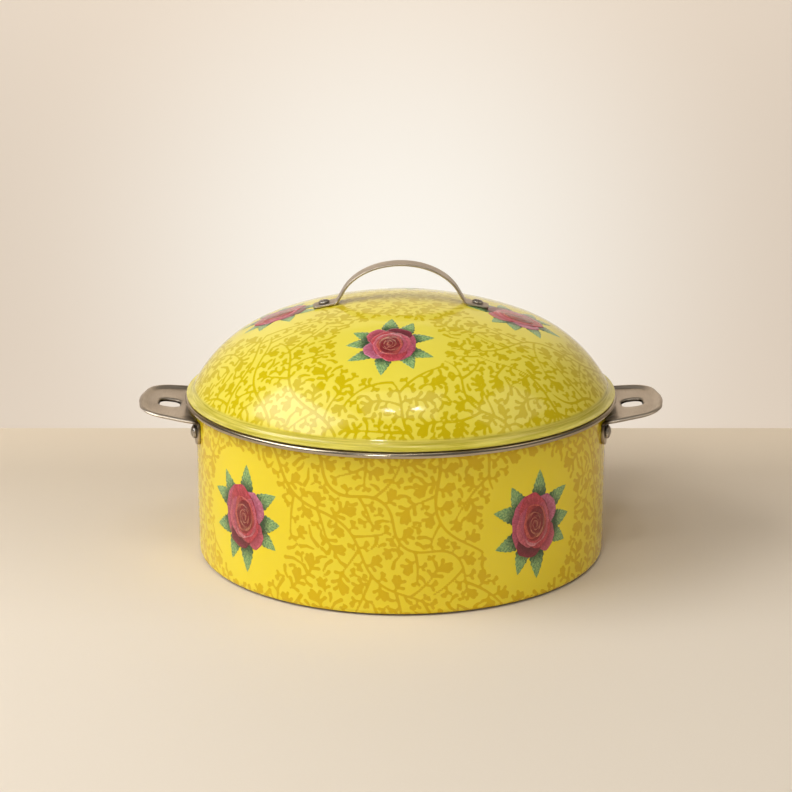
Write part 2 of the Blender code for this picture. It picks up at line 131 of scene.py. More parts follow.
# Side handles
SHEET = 1.8 * MM
PLATE_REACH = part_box("side_handle_right")[1].x
PLATE_NOSE_SAG = 1.0 * MM
PLATE_NOSE_Y = 12.0 * MM
PLATE_CORNER_X = 165.8 * MM
PLATE_CORNER_Y = 32.6 * MM
PLATE_CORNER_RADIUS = 21.0 * MM
PLATE_WAIST_X = 139.0 * MM
PLATE_WAIST_Y = 39.9 * MM
PLATE_TILT = math.radians(7.5)
PANEL_HEIGHT = 95.0 * MM
PANEL_PITCH = 2.2 * MM
RIM_RISE = 1.8 * MM
RIM_FALL = 1.2 * MM
RIM_CREST = 2.0 * MM
RIM_WIDTH = 6.0 * MM
SLOT_START = 144.0 * MM
SLOT_END = 157.2 * MM
SLOT_HALF_WIDTH = 8.2 * MM
SLOT_CORNER = 5.4 * MM
SLOT_EDGE_WIDTH = 2.2 * MM
SLOT_EDGE_DROP = 2.2 * MM
BEND_RADIUS = 7.8 * MM
BEND_END_RADIUS = 2.8 * MM
BEND_EASE_START = 19.0 * MM
BEND_EASE_LENGTH = 9.0 * MM
FLANGE_FACE_RADIUS = BODY_RADIUS + GAP
FLANGE_MIDDLE_BOTTOM = 83.0 * MM
TAB_AZIMUTH = math.radians(15.0)
TAB_HALF_WIDTH = 6.2 * MM
TAB_BOTTOM = 78.0 * MM
EDGE_BEVEL = 0.3 * MM

# Rivets: head radius and height, shank radius, grip, and the tail's radius and height
RIVET_STEPS = 48
RIVET_HEIGHT = 86.5 * MM
SIDE_RIVET = (4.4 * MM, 2.9 * MM, 2.2 * MM, SHEET + BODY_WALL + 3.4 * GAP, 4.4 * MM, 1.1 * MM)
LID_RIVET = (3.6 * MM, 1.9 * MM, 1.8 * MM, STRAP_THICKNESS + LID_WALL + 3.4 * GAP, 3.8 * MM, 1.0 * MM)

# Roses: azimuths in degrees from the front, lengths in millimetres. Each rose on the lid has its
# azimuth, its distance from the apex and its size.
WALL_ROSE_AZIMUTHS = (-46.5, 37.8, 129.8, -138.5)
WALL_ROSE_HEIGHT = 49.0
WALL_PLAIN_HALF_WIDTH = 36.5
WALL_PLAIN_HALF_HEIGHT = 42.5
LID_ROSES = ((-5.0, 75.0, 0.92), (85.0, 75.0, 0.92), (175.0, 75.0, 0.92), (265.0, 80.0, 0.86))
LID_PLAIN_RADIUS = 34.5
LEAVES = 9
LEAF_START = 10.0
LEAF_REACH = (30.5, 34.5)
LEAF_HALF_WIDTH = 5.9
SPIRAL_PETALS = 10
SPIRAL_SHRINK = 0.86
SPIRAL_HALF_SIZE = (7.0, 9.6)
GOLDEN_ANGLE = 137.5

# The stack of printed films over the enamel, in millimetres
FILM = 0.01
LEAF_LIFT = 0.04
PETAL_LIFT = 0.06
PETAL_STEP = 0.0105

# Leaf pattern, in millimetres
PATTERN_PITCH = 0.6
PATTERN_REACH = 9.0
STROKE_GAP = 1.4
STEM_STEP = 1.5
SPRIG_SIZES = (16.0, 13.5, 11.0, 9.0, 7.2, 5.6)
PATTERN_SWELL = 0.28
STEM_RADII = (0.82, 0.35)
BRANCH_RADII = (0.65, 0.32)
BRANCH_LENGTHS = (32.0, 24.0, 17.0, 12.0)
LONGEST_STEM = 150
WIDEST_GAP = 2.7
MOST_FILLINGS = 2500
WALL_STEMS = 22
DOME_STEMS = 17

# Enamel colours: each pair is mixed in soft clouds
ENAMEL_RELIEF = 0.06 * MM
POT_GROUND = (display_colour(247, 225, 46), display_colour(244, 218, 32))
POT_INK = (display_colour(228, 192, 2), display_colour(222, 184, 1))
LID_GROUND = (display_colour(235, 220, 84), display_colour(230, 213, 66))
LID_INK = (display_colour(210, 190, 2), display_colour(202, 180, 1))
GROUND_FLECK = display_colour(240, 222, 92)
INK_FLECK = display_colour(206, 172, 4)
# Plain rim: darker olive for painted shade, paler olive for painted reflection
RIM_SHADED_OLIVE = display_colour(172, 160, 40)
RIM_SHEEN_OLIVE = display_colour(224, 211, 104)
INSIDE_CREAM = display_colour(240, 232, 208)
INSIDE_CREAM_FLECK = display_colour(226, 216, 186)
# Darker brown for a thin line along the pot's bottom edge
EDGE_BROWN = display_colour(96, 66, 24)

# Print colours
PETAL_SHADE = display_colour(164, 92, 108)
PETAL_GLOW = display_colour(138, 74, 78)
LEAF_GREEN = display_colour(96, 142, 90)
LEAF_GREEN_PALE = display_colour(184, 212, 136)
LEAF_GREEN_DARK = display_colour(58, 100, 72)
LEAF_RIB = display_colour(150, 176, 110)
LEAF_BASE = display_colour(38, 54, 36)

# Steel colours
STEEL_LIGHT = display_colour(200, 188, 172)
STEEL_DARK = display_colour(172, 159, 142)
# Painted shade for the handles' slot and fold
STEEL_PAINTED_SHADE = display_colour(58, 48, 38)
BAND_LIGHT = display_colour(198, 186, 166)
BAND_DARK = display_colour(166, 152, 130)
RIVET_LIGHT = display_colour(204, 198, 188)
RIVET_DARK = display_colour(132, 122, 112)

# Petal colours: inside and rim
LAVENDER = (display_colour(160, 60, 92), display_colour(228, 142, 172))
DUSTY = (display_colour(128, 34, 58), display_colour(214, 104, 130))
PINK = (display_colour(146, 34, 58), display_colour(236, 122, 138))
MAROON = (display_colour(66, 12, 28), display_colour(150, 48, 66))
CRIMSON = (display_colour(148, 24, 40), display_colour(226, 88, 100))
BLUSH = (display_colour(160, 34, 46), display_colour(246, 168, 178))
CORAL = (display_colour(150, 32, 38), display_colour(228, 110, 92))
PEACH = (display_colour(132, 22, 24), display_colour(255, 182, 138))

# Outer petals from the back to the front: centre, half size, tilt, wave, colours, lit side
PETALS = (
    ((6.0, 4.6), (10.8, 13.8), -18, 0.06, LAVENDER, 40),
    ((-8.0, -2.5), (9.6, 15.0), 10, 0.04, DUSTY, 190),
    ((8.0, -9.5), (9.2, 9.0), -35, 0.06, PINK, -40),
    ((-3.5, -12.5), (10.0, 8.4), 8, 0.04, MAROON, 250),
    ((-3.0, 3.4), (13.4, 16.4), 8, 0.04, DUSTY, 150),
    ((-0.8, 4.2), (11.6, 16.2), 10, 0.04, CRIMSON, 90),
    ((-4.4, -1.8), (9.4, 13.0), 14, 0.04, PINK, 200),
    ((2.6, -4.4), (10.6, 11.2), -12, 0.04, CRIMSON, 320),
    ((0.6, -3.6), (9.8, 10.0), -4, 0.05, BLUSH, 265),
    ((4.4, 0.8), (7.0, 11.6), -8, 0.05, PINK, 10),
    ((-3.8, 0.2), (7.2, 11.4), 12, 0.05, DUSTY, 175),
    ((0.4, -2.4), (9.0, 9.6), 2, 0.05, CRIMSON, 275),
    ((0.2, 1.4), (8.8, 11.8), 4, 0.05, CORAL, 60),
    ((-0.4, 0.8), (8.0, 10.6), 8, 0.05, CORAL, 200),
)

# Stage, in metres
STAGE_HALF_WIDTH = 4.0
TABLE_FRONT = -3.0
TABLE_EDGE = 0.258
TABLE_TOP = -0.2 * MM
BACKDROP_PLACE = 1.7
BACKDROP_HALF_HEIGHT = 1.5
# Painted pool of light on the backdrop: its centre height and reach
GLOW_HEIGHT = -0.2
GLOW_REACH = 0.62
TABLE_COLOUR = display_colour(231, 220, 204)
TABLE_FLECK = display_colour(228, 216, 199)
# Painted shade: the colour the table darkens to towards the back
TABLE_FAR_SHADE = display_colour(207, 191, 168)
BACKDROP_GLOW = display_colour(240, 236, 228)
BACKDROP_COLOUR = display_colour(219, 205, 189)

# Camera
CAMERA_PLACE = (0.0, -1.3, 0.4727)
CAMERA_TILT = math.radians(74)
CAMERA_SENSOR = 36.0
CAMERA_LENS = 94.47
CAMERA_SHIFT = -0.0062

# Lights: name, place, what it faces, size, watts and colour
POT_MIDDLE = (0.0, 0.0, 0.1)
WHITE = (1.0, 1.0, 1.0)
SOFT_WHITE = (1.0, 0.99, 0.97)
WARM = (1.0, 0.9, 0.76)
LIGHTS = (
    ("key_wide", (-1.15, -0.35, 1.3), POT_MIDDLE, (1.6, 1.1), 7.5, WHITE),
    ("key", (-1.14, -0.36, 1.18), POT_MIDDLE, (1.2, 0.7), 11.0, WHITE),
    ("key_core", (-1.11, -0.35, 1.16), POT_MIDDLE, (0.8, 0.45), 1.6, WHITE),
    ("fill", (1.15, -0.25, 1.25), POT_MIDDLE, (1.0, 0.7), 3.0, WARM),
    ("overhead", (0.0, -0.6, 1.8), POT_MIDDLE, (1.0, 0.8), 4.5, SOFT_WHITE),
    ("spot_left", (-0.15, -0.78, 1.75), POT_MIDDLE, (0.11, 0.05), 0.9, SOFT_WHITE),
    ("spot_right", (0.2, -0.72, 1.75), POT_MIDDLE, (0.11, 0.05), 0.9, SOFT_WHITE),
    ("front", (-0.5, -2.4, 1.3), POT_MIDDLE, (0.35, 0.3), 12.5, SOFT_WHITE),
    ("backdrop_upper", (0.0, 0.1, 0.8), (0.0, 1.7, 0.9), (2.2, 0.4), 22.0, WHITE),
    ("backdrop_lower", (0.0, 1.0, -1.0), (0.0, 1.7, -0.2), (2.2, 0.4), 8.5, WHITE),
)
WORLD_COLOUR = (1.0, 0.93, 0.84, 1.0)
WORLD_STRENGTH = 0.16


# Small helpers


def arc(centre, radius, start, end, steps):
    """Points on a circle, with angles in degrees from +r towards +z."""
    angles = np.radians(np.linspace(start, end, steps + 1))
    return [(centre[0] + radius * math.cos(a), centre[1] + radius * math.sin(a)) for a in angles]


def fillet(before, corner, after, radius, steps):
    """The arc that rounds a corner of a path, from the side of `before` to the side of `after`."""
    corner = Vector(corner)
    towards_before = (Vector(before) - corner).normalized()
    towards_after = (Vector(after) - corner).normalized()
    half = towards_before.angle(towards_after) / 2
    centre = corner + (towards_before + towards_after).normalized() * radius / math.sin(half)
    start = corner + towards_before * radius / math.tan(half) - centre
    end = corner + towards_after * radius / math.tan(half) - centre
    sweep = -start.angle_signed(end)
    points = []
    for i in range(steps + 1):
        x, y = turned(start.x, start.y, sweep * i / steps)
        points.append((centre.x + x, centre.y + y))
    return points


def straight(start, end, pitch):
    """Points between two ends, without either, about `pitch` apart."""
    count = max(1, round(math.dist(start, end) / pitch))
    return [tuple(np.array(start) + (np.array(end) - start) * i / count) for i in range(1, count)]


def turned(x, y, angle):
    """Coordinates turned round the origin."""
    cos, sin = math.cos(angle), math.sin(angle)
    return x * cos - y * sin, x * sin + y * cos


def smooth_step(value, start, end):
    """0 up to the start and 1 from the end, with a soft rise between them."""
    share = np.clip((value - start) / (end - start), 0.0, 1.0)
    return share * share * (3 - 2 * share)


def put_in_scene(name, data):
    """A new object in the scene for a mesh, a light or a camera."""
    obj = bpy.data.objects.new(name, data)
    bpy.context.scene.collection.objects.link(obj)
    return obj


def make_piece(name, points, faces, numbers=(), materials=(), sharp=None):
    """A mesh object with named per-point numbers, vectors or colours."""
    mesh = bpy.data.meshes.new(name)
    mesh.from_pydata(np.asarray(points).tolist(), [], faces)
    for label, values in dict(numbers).items():
        values = np.asarray(values, np.float32)
        kind, field = ATTRIBUTE_KINDS[1 if values.ndim == 1 else values.shape[1]]
        mesh.attributes.new(label, kind, "POINT").data.foreach_set(field, values.ravel())
    mesh.shade_smooth()
    if sharp:
        mesh.set_sharp_from_angle(angle=math.radians(sharp))
    for material in materials:
        mesh.materials.append(material)
    return put_in_scene(name, mesh)


def face_outwards(piece, weld=0.0):
    """Joins points closer than `weld` and turns every face outwards."""
    bm = bmesh.new()
    bm.from_mesh(piece.data)
    if weld:
        bmesh.ops.remove_doubles(bm, verts=bm.verts, dist=weld)
    bmesh.ops.recalc_face_normals(bm, faces=bm.faces)
    bm.to_mesh(piece.data)
    bm.free()


def hand_over(piece, body, slot, *nodes):
    """The piece rides on a body and stands for these CAD nodes, which it hides; `slot` is not used."""
    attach(piece, body)
    if nodes:
        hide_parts(*nodes)


def ring_faces(upper, lower):
    """Quads between two closed rings of point numbers, facing out where upper lies above lower."""
    return np.stack([upper, lower, np.roll(lower, -1), np.roll(upper, -1)], axis=1).tolist()


def grid_faces(index):
    """Quads between neighbouring rows and columns of a grid of point numbers."""
    corners = [index[:-1, :-1], index[1:, :-1], index[1:, 1:], index[:-1, 1:]]
    return np.stack(corners, axis=-1).reshape(-1, 4).tolist()


def fan(middle, ring):
    """Triangles from a middle point to a closed ring of point numbers."""
    return [(middle, int(a), int(b)) for a, b in zip(ring, np.roll(ring, -1))]


def turned_rings(profile, angles, first=0):
    """Rings of points round Z for a profile of (radius, height), and the faces between them."""
    profile = np.array(profile)
    x, y = (profile[:, :1] * along(angles)[None, :] for along in (np.cos, np.sin))
    z = np.repeat(profile[:, 1:], len(angles), axis=1)
    points = np.stack([x, y, z], axis=2).reshape(-1, 3)
    rings = first + np.arange(len(points)).reshape(len(profile), len(angles))
    faces = []
    for upper, lower in zip(rings, rings[1:]):
        faces += ring_faces(upper, lower)
    return points, faces, rings


def turned_solid(profile, steps):
    """A closed turned solid whose profile starts and ends on the axis. Returns points and faces."""
    angles = np.arange(steps) * 2 * math.pi / steps
    points, faces, rings = turned_rings(profile[1:-1], angles)
    points = np.vstack([points, (0.0, 0.0, profile[0][1]), (0.0, 0.0, profile[-1][1])])
    top, bottom = len(points) - 2, len(points) - 1
    faces += fan(top, rings[0]) + [face[::-1] for face in fan(bottom, rings[-1])]
    return points, faces


# Flat maps of the printed surfaces


def wall_map(along, height, lift):
    """Places on the pot's wall from millimetres along it from the front, and millimetres up."""
    radius = BODY_RADIUS + lift * MM
    azimuth = along * MM / BODY_RADIUS
    return np.stack([radius * np.sin(azimuth), -radius * np.cos(azimuth), height * MM], axis=-1)


def dome_section(arc_length, lift=0.0):
    """Radius and height of the dome's outside at a distance from its apex, all in metres."""
    on_crown = arc_length < CROWN_ARC
    slope = np.where(
        on_crown, arc_length / CROWN_RADIUS, JOINT_ANGLE + (arc_length - CROWN_ARC) / KNUCKLE_RADIUS
    )
    size = np.where(on_crown, CROWN_RADIUS, KNUCKLE_RADIUS) + lift
    radius = size * np.sin(slope) + np.where(on_crown, 0.0, KNUCKLE_REACH * math.sin(JOINT_ANGLE))
    height = size * np.cos(slope) + np.where(on_crown, CROWN_HEIGHT, KNUCKLE_HEIGHT)
    return radius, height


def dome_map(x, y, lift=0.0):
    """Places on the dome from a flat disc whose radius is the distance from the apex, in millimetres."""
    reach = np.hypot(x, y)
    radius, height = dome_section(reach * MM, lift * MM)
    share = radius / np.maximum(reach, 1e-9)
    return np.stack([x * share, y * share, height], axis=-1)


# Leaf pattern


class LeafPattern:
    """Strokes on a flat map, and a grid of each place's distance to the nearest one, negative inside."""

    def __init__(self, low, high, wraps, room):
        self.low = np.array(low)
        self.wraps = wraps
        self.columns = round((high[0] - low[0]) / PATTERN_PITCH)
        self.rows = round((high[1] - low[1]) / PATTERN_PITCH)
        self.pitch = (high[0] - low[0]) / self.columns
        self.distance = np.full((self.rows, self.columns), PATTERN_REACH)
        self.free = room(*self.places(np.arange(self.columns)[None, :], np.arange(self.rows)[:, None]))

    def places(self, column, row):
        return self.low[0] + column * self.pitch, self.low[1] + row * self.pitch

    def add(self, strokes):
        """Each stroke is (x, y, radius) at its start and at its end, and tapers between them."""
        for x1, y1, r1, x2, y2, r2 in strokes:
            reach = PATTERN_REACH + max(r1, r2)
            low = (np.array((min(x1, x2), min(y1, y2))) - self.low - reach) / self.pitch
            high = (np.array((max(x1, x2), max(y1, y2))) - self.low + reach) / self.pitch
            column = np.arange(int(low[0]), int(high[0]) + 1)
            row = np.arange(max(int(low[1]), 0), max(min(int(high[1]) + 1, self.rows), 0))
            if not self.wraps:
                column = column[(column >= 0) & (column < self.columns)]
            x, y = self.places(column[None, :], row[:, None])
            span = max((x2 - x1) ** 2 + (y2 - y1) ** 2, 1e-9)
            along = np.clip(((x - x1) * (x2 - x1) + (y - y1) * (y2 - y1)) / span, 0.0, 1.0)
            apart = np.hypot(x - x1 - along * (x2 - x1), y - y1 - along * (y2 - y1))
            window = np.ix_(row, column % self.columns)
            self.distance[window] = np.minimum(self.distance[window], apart - r1 - along * (r2 - r1))

    def look(self, grid, points, outside):
        """The grid's values at the nearest places to the points."""
        column, row = np.rint((points - self.low) / self.pitch).astype(int).T
        if self.wraps:
            column = column % self.columns
        inside = (column >= 0) & (column < self.columns) & (row >= 0) & (row < self.rows)
        found = grid[np.clip(row, 0, self.rows - 1), np.clip(column, 0, self.columns - 1)]
        return np.where(inside, found, outside)

    def fits(self, points, radii, gap=STROKE_GAP):
        """Whether round spots here stay clear of every stroke and inside the printed area."""
        clear = self.look(self.distance, points, PATTERN_REACH) - radii
        room = self.look(self.free, points, 0.5) - radii * 0.6
        return clear.min() > gap and room.min() > 0.0

    def sample(self, x, y):
        """The distance at any place, read between the grid's values."""
        column = (x - self.low[0]) / self.pitch
        row = np.clip((y - self.low[1]) / self.pitch, 0.0, self.rows - 1.001)
        if not self.wraps:
            column = np.clip(column, 0.0, self.columns - 1.001)
        left = np.floor(column).astype(int)
        below = np.floor(row).astype(int)
        across, up = column - left, row - below
        left, right = left % self.columns, (left + 1) % self.columns
        lower = self.distance[below, left] * (1 - across) + self.distance[below, right] * across
        upper = self.distance[below + 1, left] * (1 - across) + self.distance[below + 1, right] * across
        return lower * (1 - up) + upper * up


def heading_vector(angle):
    return np.array((math.cos(angle), math.sin(angle)))


def curved_path(start, heading, length, curl):
    """Points along a path that turns by `curl` radians for each millimetre, and its last heading."""
    count = max(2, round(length / STEM_STEP))
    headings = heading + curl * length / count * (np.arange(count) + 0.5)
    steps = np.stack([np.cos(headings), np.sin(headings)], axis=1) * length / count
    return np.vstack([start, start + np.cumsum(steps, axis=0)]), heading + curl * length


def strokes_along(path, start_radius, end_radius):
    radii = np.linspace(start_radius, end_radius, len(path))
    return [(*path[i], radii[i], *path[i + 1], radii[i + 1]) for i in range(len(path) - 1)]


def club(base, heading, length, hook):
    """A lobe that widens to a round end and hooks a little to one side."""
    middle = base + 0.55 * length * heading_vector(heading)
    tip = middle + 0.45 * length * heading_vector(heading + 0.5 * hook)
    end_radius = min(1.05, 0.4 + 0.13 * length)
    return [(*base, 0.35, *middle, 0.66 * end_radius), (*middle, 0.66 * end_radius, *tip, end_radius)]


def sprig(base, heading, size, side):
    """A small oak-like leaf: a curved rib with pairs of round lobes that lean forwards and one at its end."""
    path, last = curved_path(base, heading, 0.68 * size, side * 1.1 / size)
    strokes = strokes_along(path, 0.45, 0.05 * size) + club(path[-1], last, 0.32 * size, side)
    pairs = ((0.55, 44, 0.48),) if size < 7.5 else ((0.36, 50, 0.43), (0.76, 38, 0.42))
    if size > 11.0:
        pairs = ((0.2, 54, 0.33), (0.5, 46, 0.39), (0.82, 36, 0.36))
    for share, turn, length in pairs:
        place = path[round(share * (len(path) - 1))]
        along = heading + (last - heading) * share
        for way in (-1, 1):
            reach = length * size * (1 + 0.15 * way * side)
            strokes += club(place, along + way * math.radians(turn), reach, 0.5 * way)
    return strokes


def spots(strokes):
    """Sample points and radii along strokes, for a fit test."""
    rows = np.array(strokes)
    found = np.vstack([(1 - t) * rows[:, :3] + t * rows[:, 3:] for t in (0.0, 0.5, 1.0)])
    return found[:, :2], found[:, 2]


def try_sprig(pattern, place, heading, sizes, gap):
    """Adds the largest of several sprigs that fits here. Returns whether one did."""
    for size in np.minimum(sizes, SPRIG_SIZES[0]):
        for turn, side in ((0.0, 1), (0.3, -1), (-0.3, 1)):
            strokes = sprig(place, heading + turn, size, side)
            points, radii = spots(strokes)
            clear = np.hypot(*(points - place).T) > 2.9
            if pattern.fits(points[clear], radii[clear], gap):
                pattern.add(strokes)
                return True
    return False


def try_branch(pattern, place, heading, side, rng):
    """Adds the longest of several curved branches that fits here. Returns its path and headings."""
    for length in BRANCH_LENGTHS:
        for _ in range(3):
            turn = heading + side * math.radians(rng.uniform(32, 60))
            bend = side * rng.uniform(-0.045, 0.03)
            path, last = curved_path(place, turn, length, bend)
            clear = path[np.hypot(*(path - place).T) > 6.5]
            if pattern.fits(clear, np.full(len(clear), 0.8), 5.0):
                pattern.add(strokes_along(path, *BRANCH_RADII))
                return path, np.linspace(turn, last, len(path))
    return None


def grow_stem(pattern, start, heading, wave, swing):
    """A winding stem that stops where it would meet another or leave the printed area."""
    path = [np.array(start, float)]
    turns = [heading]
    for step in range(round(LONGEST_STEM / STEM_STEP)):
        turn = heading + swing * math.sin(step * STEM_STEP / wave * 2 * math.pi)
        probe = path[-1] + (STEM_STEP + 2.5) * heading_vector(turn)
        if not pattern.fits(probe[None, :], np.array([0.7]), 3.0):
            break
        path.append(path[-1] + STEM_STEP * heading_vector(turn))
        turns.append(turn)
    return np.array(path), turns


def grow_sprigs(pattern, twigs, rng):
    """Sprigs at every twig's end and along both its sides."""
    for path, turns in twigs:
        try_sprig(pattern, path[-1], turns[-1], SPRIG_SIZES, STROKE_GAP)
    for path, turns in twigs:
        side = rng.choice((-1, 1))
        for i in range(2, len(path), 2):
            side = -side
            heading = turns[i] + side * math.radians(rng.uniform(52, 72))
            try_sprig(pattern, path[i], heading, SPRIG_SIZES, STROKE_GAP)


def fill_gaps(pattern, rng):
    """Sprigs, and single lobes, that grow from the nearest stroke into the widest gaps."""
    used = np.full(pattern.distance.shape, False)
    for _ in range(MOST_FILLINGS):
        gaps = np.where(used, 0.0, np.minimum(pattern.distance, pattern.free + 1.0))[::2, ::2]
        row, column = np.array(np.unravel_index(np.argmax(gaps), gaps.shape)) * 2
        gap = gaps.max()
        if gap < WIDEST_GAP:
            return
        used[max(0, row - 3):row + 4, max(0, column - 3):column + 4] = True
        centre = np.array(pattern.places(column, row))
        probes = centre + 1.2 * np.array(((1, 0), (-1, 0), (0, 1), (0, -1)))
        east, west, north, south = pattern.look(pattern.distance, probes, PATTERN_REACH)
        away = np.array((east - west, north - south))
        away = away / max(np.hypot(*away), 1e-6)
        base = centre - away * (pattern.distance[row, column] + 0.2)
        heading = math.atan2(away[1], away[0]) + rng.uniform(-0.5, 0.5)
        if gap > 2.6 and try_sprig(pattern, base, heading, (2.5 * gap, 2.1 * gap, 1.7 * gap), 1.3):
            continue
        pattern.add(club(base, heading, gap + pattern.distance[row, column] - 1.6, rng.choice((-1, 1))))


def grow_pattern(pattern, starts, rng):
    """Winding stems from each start, branches on both sides of them, sprigs, and fillings."""
    twigs = []
    for start, heading in starts:
        wave = rng.uniform(60, 100)
        swing = rng.uniform(0.35, 0.75) * rng.choice((-1, 1))
        path, turns = grow_stem(pattern, start, heading, wave, swing)
        if len(path) > 6:
            pattern.add(strokes_along(path, *STEM_RADII))
            twigs.append((path, turns))
    for path, turns in list(twigs):
        side = rng.choice((-1, 1))
        for i in range(3, len(path), 6):
            side = -side
            branch = try_branch(pattern, path[i], turns[i], side, rng)
            if branch:
                twigs.append(branch)
    grow_sprigs(pattern, twigs, rng)
    fill_gaps(pattern, rng)
    return pattern


def wall_pattern():
    """The pattern round the pot's wall, clear of the four roses."""
    girth = 2 * math.pi * BODY_RADIUS / MM

    def room(along, height):
        nearest = np.full(np.broadcast(along, height).shape, np.inf)
        for azimuth in WALL_ROSE_AZIMUTHS:
            rose = math.radians(azimuth) * BODY_RADIUS / MM
            across = (along - rose + girth / 2) % girth - girth / 2
            reach = np.hypot(
                across / WALL_PLAIN_HALF_WIDTH, (height - WALL_ROSE_HEIGHT) / WALL_PLAIN_HALF_HEIGHT
            )
            nearest = np.minimum(nearest, (reach - 1) * WALL_PLAIN_HALF_WIDTH)
        return nearest

    rng = np.random.default_rng(7)
    pattern = LeafPattern((-girth / 2, -2.0), (girth / 2, 106.0), True, room)
    starts = []
    for k in range(WALL_STEMS):
        along = girth * (k + 0.5 + rng.uniform(-0.2, 0.2)) / WALL_STEMS - girth / 2
        starts.append(((along, 107.0), math.radians(-52 + rng.uniform(-14, 14))))
    return grow_pattern(pattern, starts, rng)


def dome_pattern():
    """The pattern over the dome, clear of its four roses."""
    edge = DOME_ARC / MM

    def room(x, y):
        nearest = edge + 1.0 - np.hypot(x, y)
        for azimuth, distance, _ in LID_ROSES:
            centre = rose_centre_on_lid(azimuth, distance)
            nearest = np.minimum(nearest, np.hypot(x - centre[0], y - centre[1]) - LID_PLAIN_RADIUS)
        return nearest

    rng = np.random.default_rng(11)
    pattern = LeafPattern((-edge - 3, -edge - 3), (edge + 3, edge + 3), False, room)
    starts = []
    for k in range(DOME_STEMS):
        azimuth = 2 * math.pi * (k + rng.uniform(-0.2, 0.2)) / DOME_STEMS
        inwards = azimuth + math.pi + math.radians(rng.uniform(15, 50))
        starts.append(((edge - 1.5) * heading_vector(azimuth), inwards))
    return grow_pattern(pattern, starts, rng)


def rose_centre_on_lid(azimuth, distance):
    return distance * heading_vector(math.radians(azimuth - 90))


# Materials


class Finish:
    """A Principled material, and short ways to add nodes to it."""

    def __init__(self, name, **plain):
        """`plain` holds the numbers that are the same all over, for the shader's own sockets."""
        self.material = bpy.data.materials.new(name)
        self.material.use_nodes = True
        self.tree = self.material.node_tree
        self.shader = self.tree.nodes["Principled BSDF"]
        for label, value in plain.items():
            self.shader.inputs[label.replace("_", " ")].default_value = value

    def feed(self, socket, value):
        if isinstance(value, bpy.types.NodeSocket):
            self.tree.links.new(value, socket)
        else:
            socket.default_value = value

    def drive(self, label, value):
        """Links a varying value to the shader."""
        self.tree.links.new(value, self.shader.inputs[label])

    def put(self, kind, inputs=(), **settings):
        """A new node with its settings, and its inputs set or linked by name or number."""
        made = self.tree.nodes.new(kind)
        for label, value in settings.items():
            setattr(made, label, value)
        for label, value in dict(inputs).items():
            self.feed(made.inputs[label], value)
        return made

    def places(self):
        return self.put("ShaderNodeTexCoord").outputs["Object"]

    def given(self, label, output="Fac"):
        """A per-point number, vector or colour of the piece."""
        return self.put("ShaderNodeAttribute", attribute_name=label).outputs[output]

    def maths(self, operation, first, second=0.0):
        return self.put("ShaderNodeMath", {0: first, 1: second}, operation=operation).outputs[0]

    def times(self, value, factor):
        return self.maths("MULTIPLY", value, factor)

    def scaled(self, vector, scale):
        return self.put("ShaderNodeVectorMath", {0: vector, 1: scale}, operation="MULTIPLY").outputs[0]

    def noise(self, vector, scale, detail=2.0, roughness=0.5):
        """A noise value over places given in metres. The scale is in cycles for each metre."""
        inputs = {"Vector": vector, "Scale": scale, "Detail": detail, "Roughness": roughness}
        return self.put("ShaderNodeTexNoise", inputs).outputs["Fac"]

    def ranged(self, value, low, high, new_low=0.0, new_high=1.0, kind="LINEAR"):
        """A value stretched from one range to another, and held inside it."""
        inputs = {"Value": value, "From Min": low, "From Max": high, "To Min": new_low, "To Max": new_high}
        return self.put("ShaderNodeMapRange", inputs, interpolation_type=kind).outputs["Result"]

    def mix(self, share, first, second, blend="MIX"):
        made = self.put("ShaderNodeMix", {"Factor": share}, data_type="RGBA", blend_type=blend)
        for name, value in (("A", first), ("B", second)):
            self.feed(next(s for s in made.inputs if s.name == name and s.type == "RGBA"), value)
        return next(s for s in made.outputs if s.type == "RGBA")

    def bump(self, height, distance, strength):
        inputs = {"Height": height, "Distance": distance, "Strength": strength}
        self.drive("Normal", self.put("ShaderNodeBump", inputs).outputs["Normal"])


def enamel_ripple(finish, places):
    """The faint orange peel of fired enamel, whose gloss is a little uneven too."""
    cloud = finish.noise(places, 60.0, 3.0)
    finish.drive("Roughness", finish.ranged(cloud, 0.3, 0.7, 0.06, 0.12))
    peel = finish.times(finish.noise(places, 900.0), 0.12)
    return finish.maths("ADD", finish.noise(places, 110.0), peel)


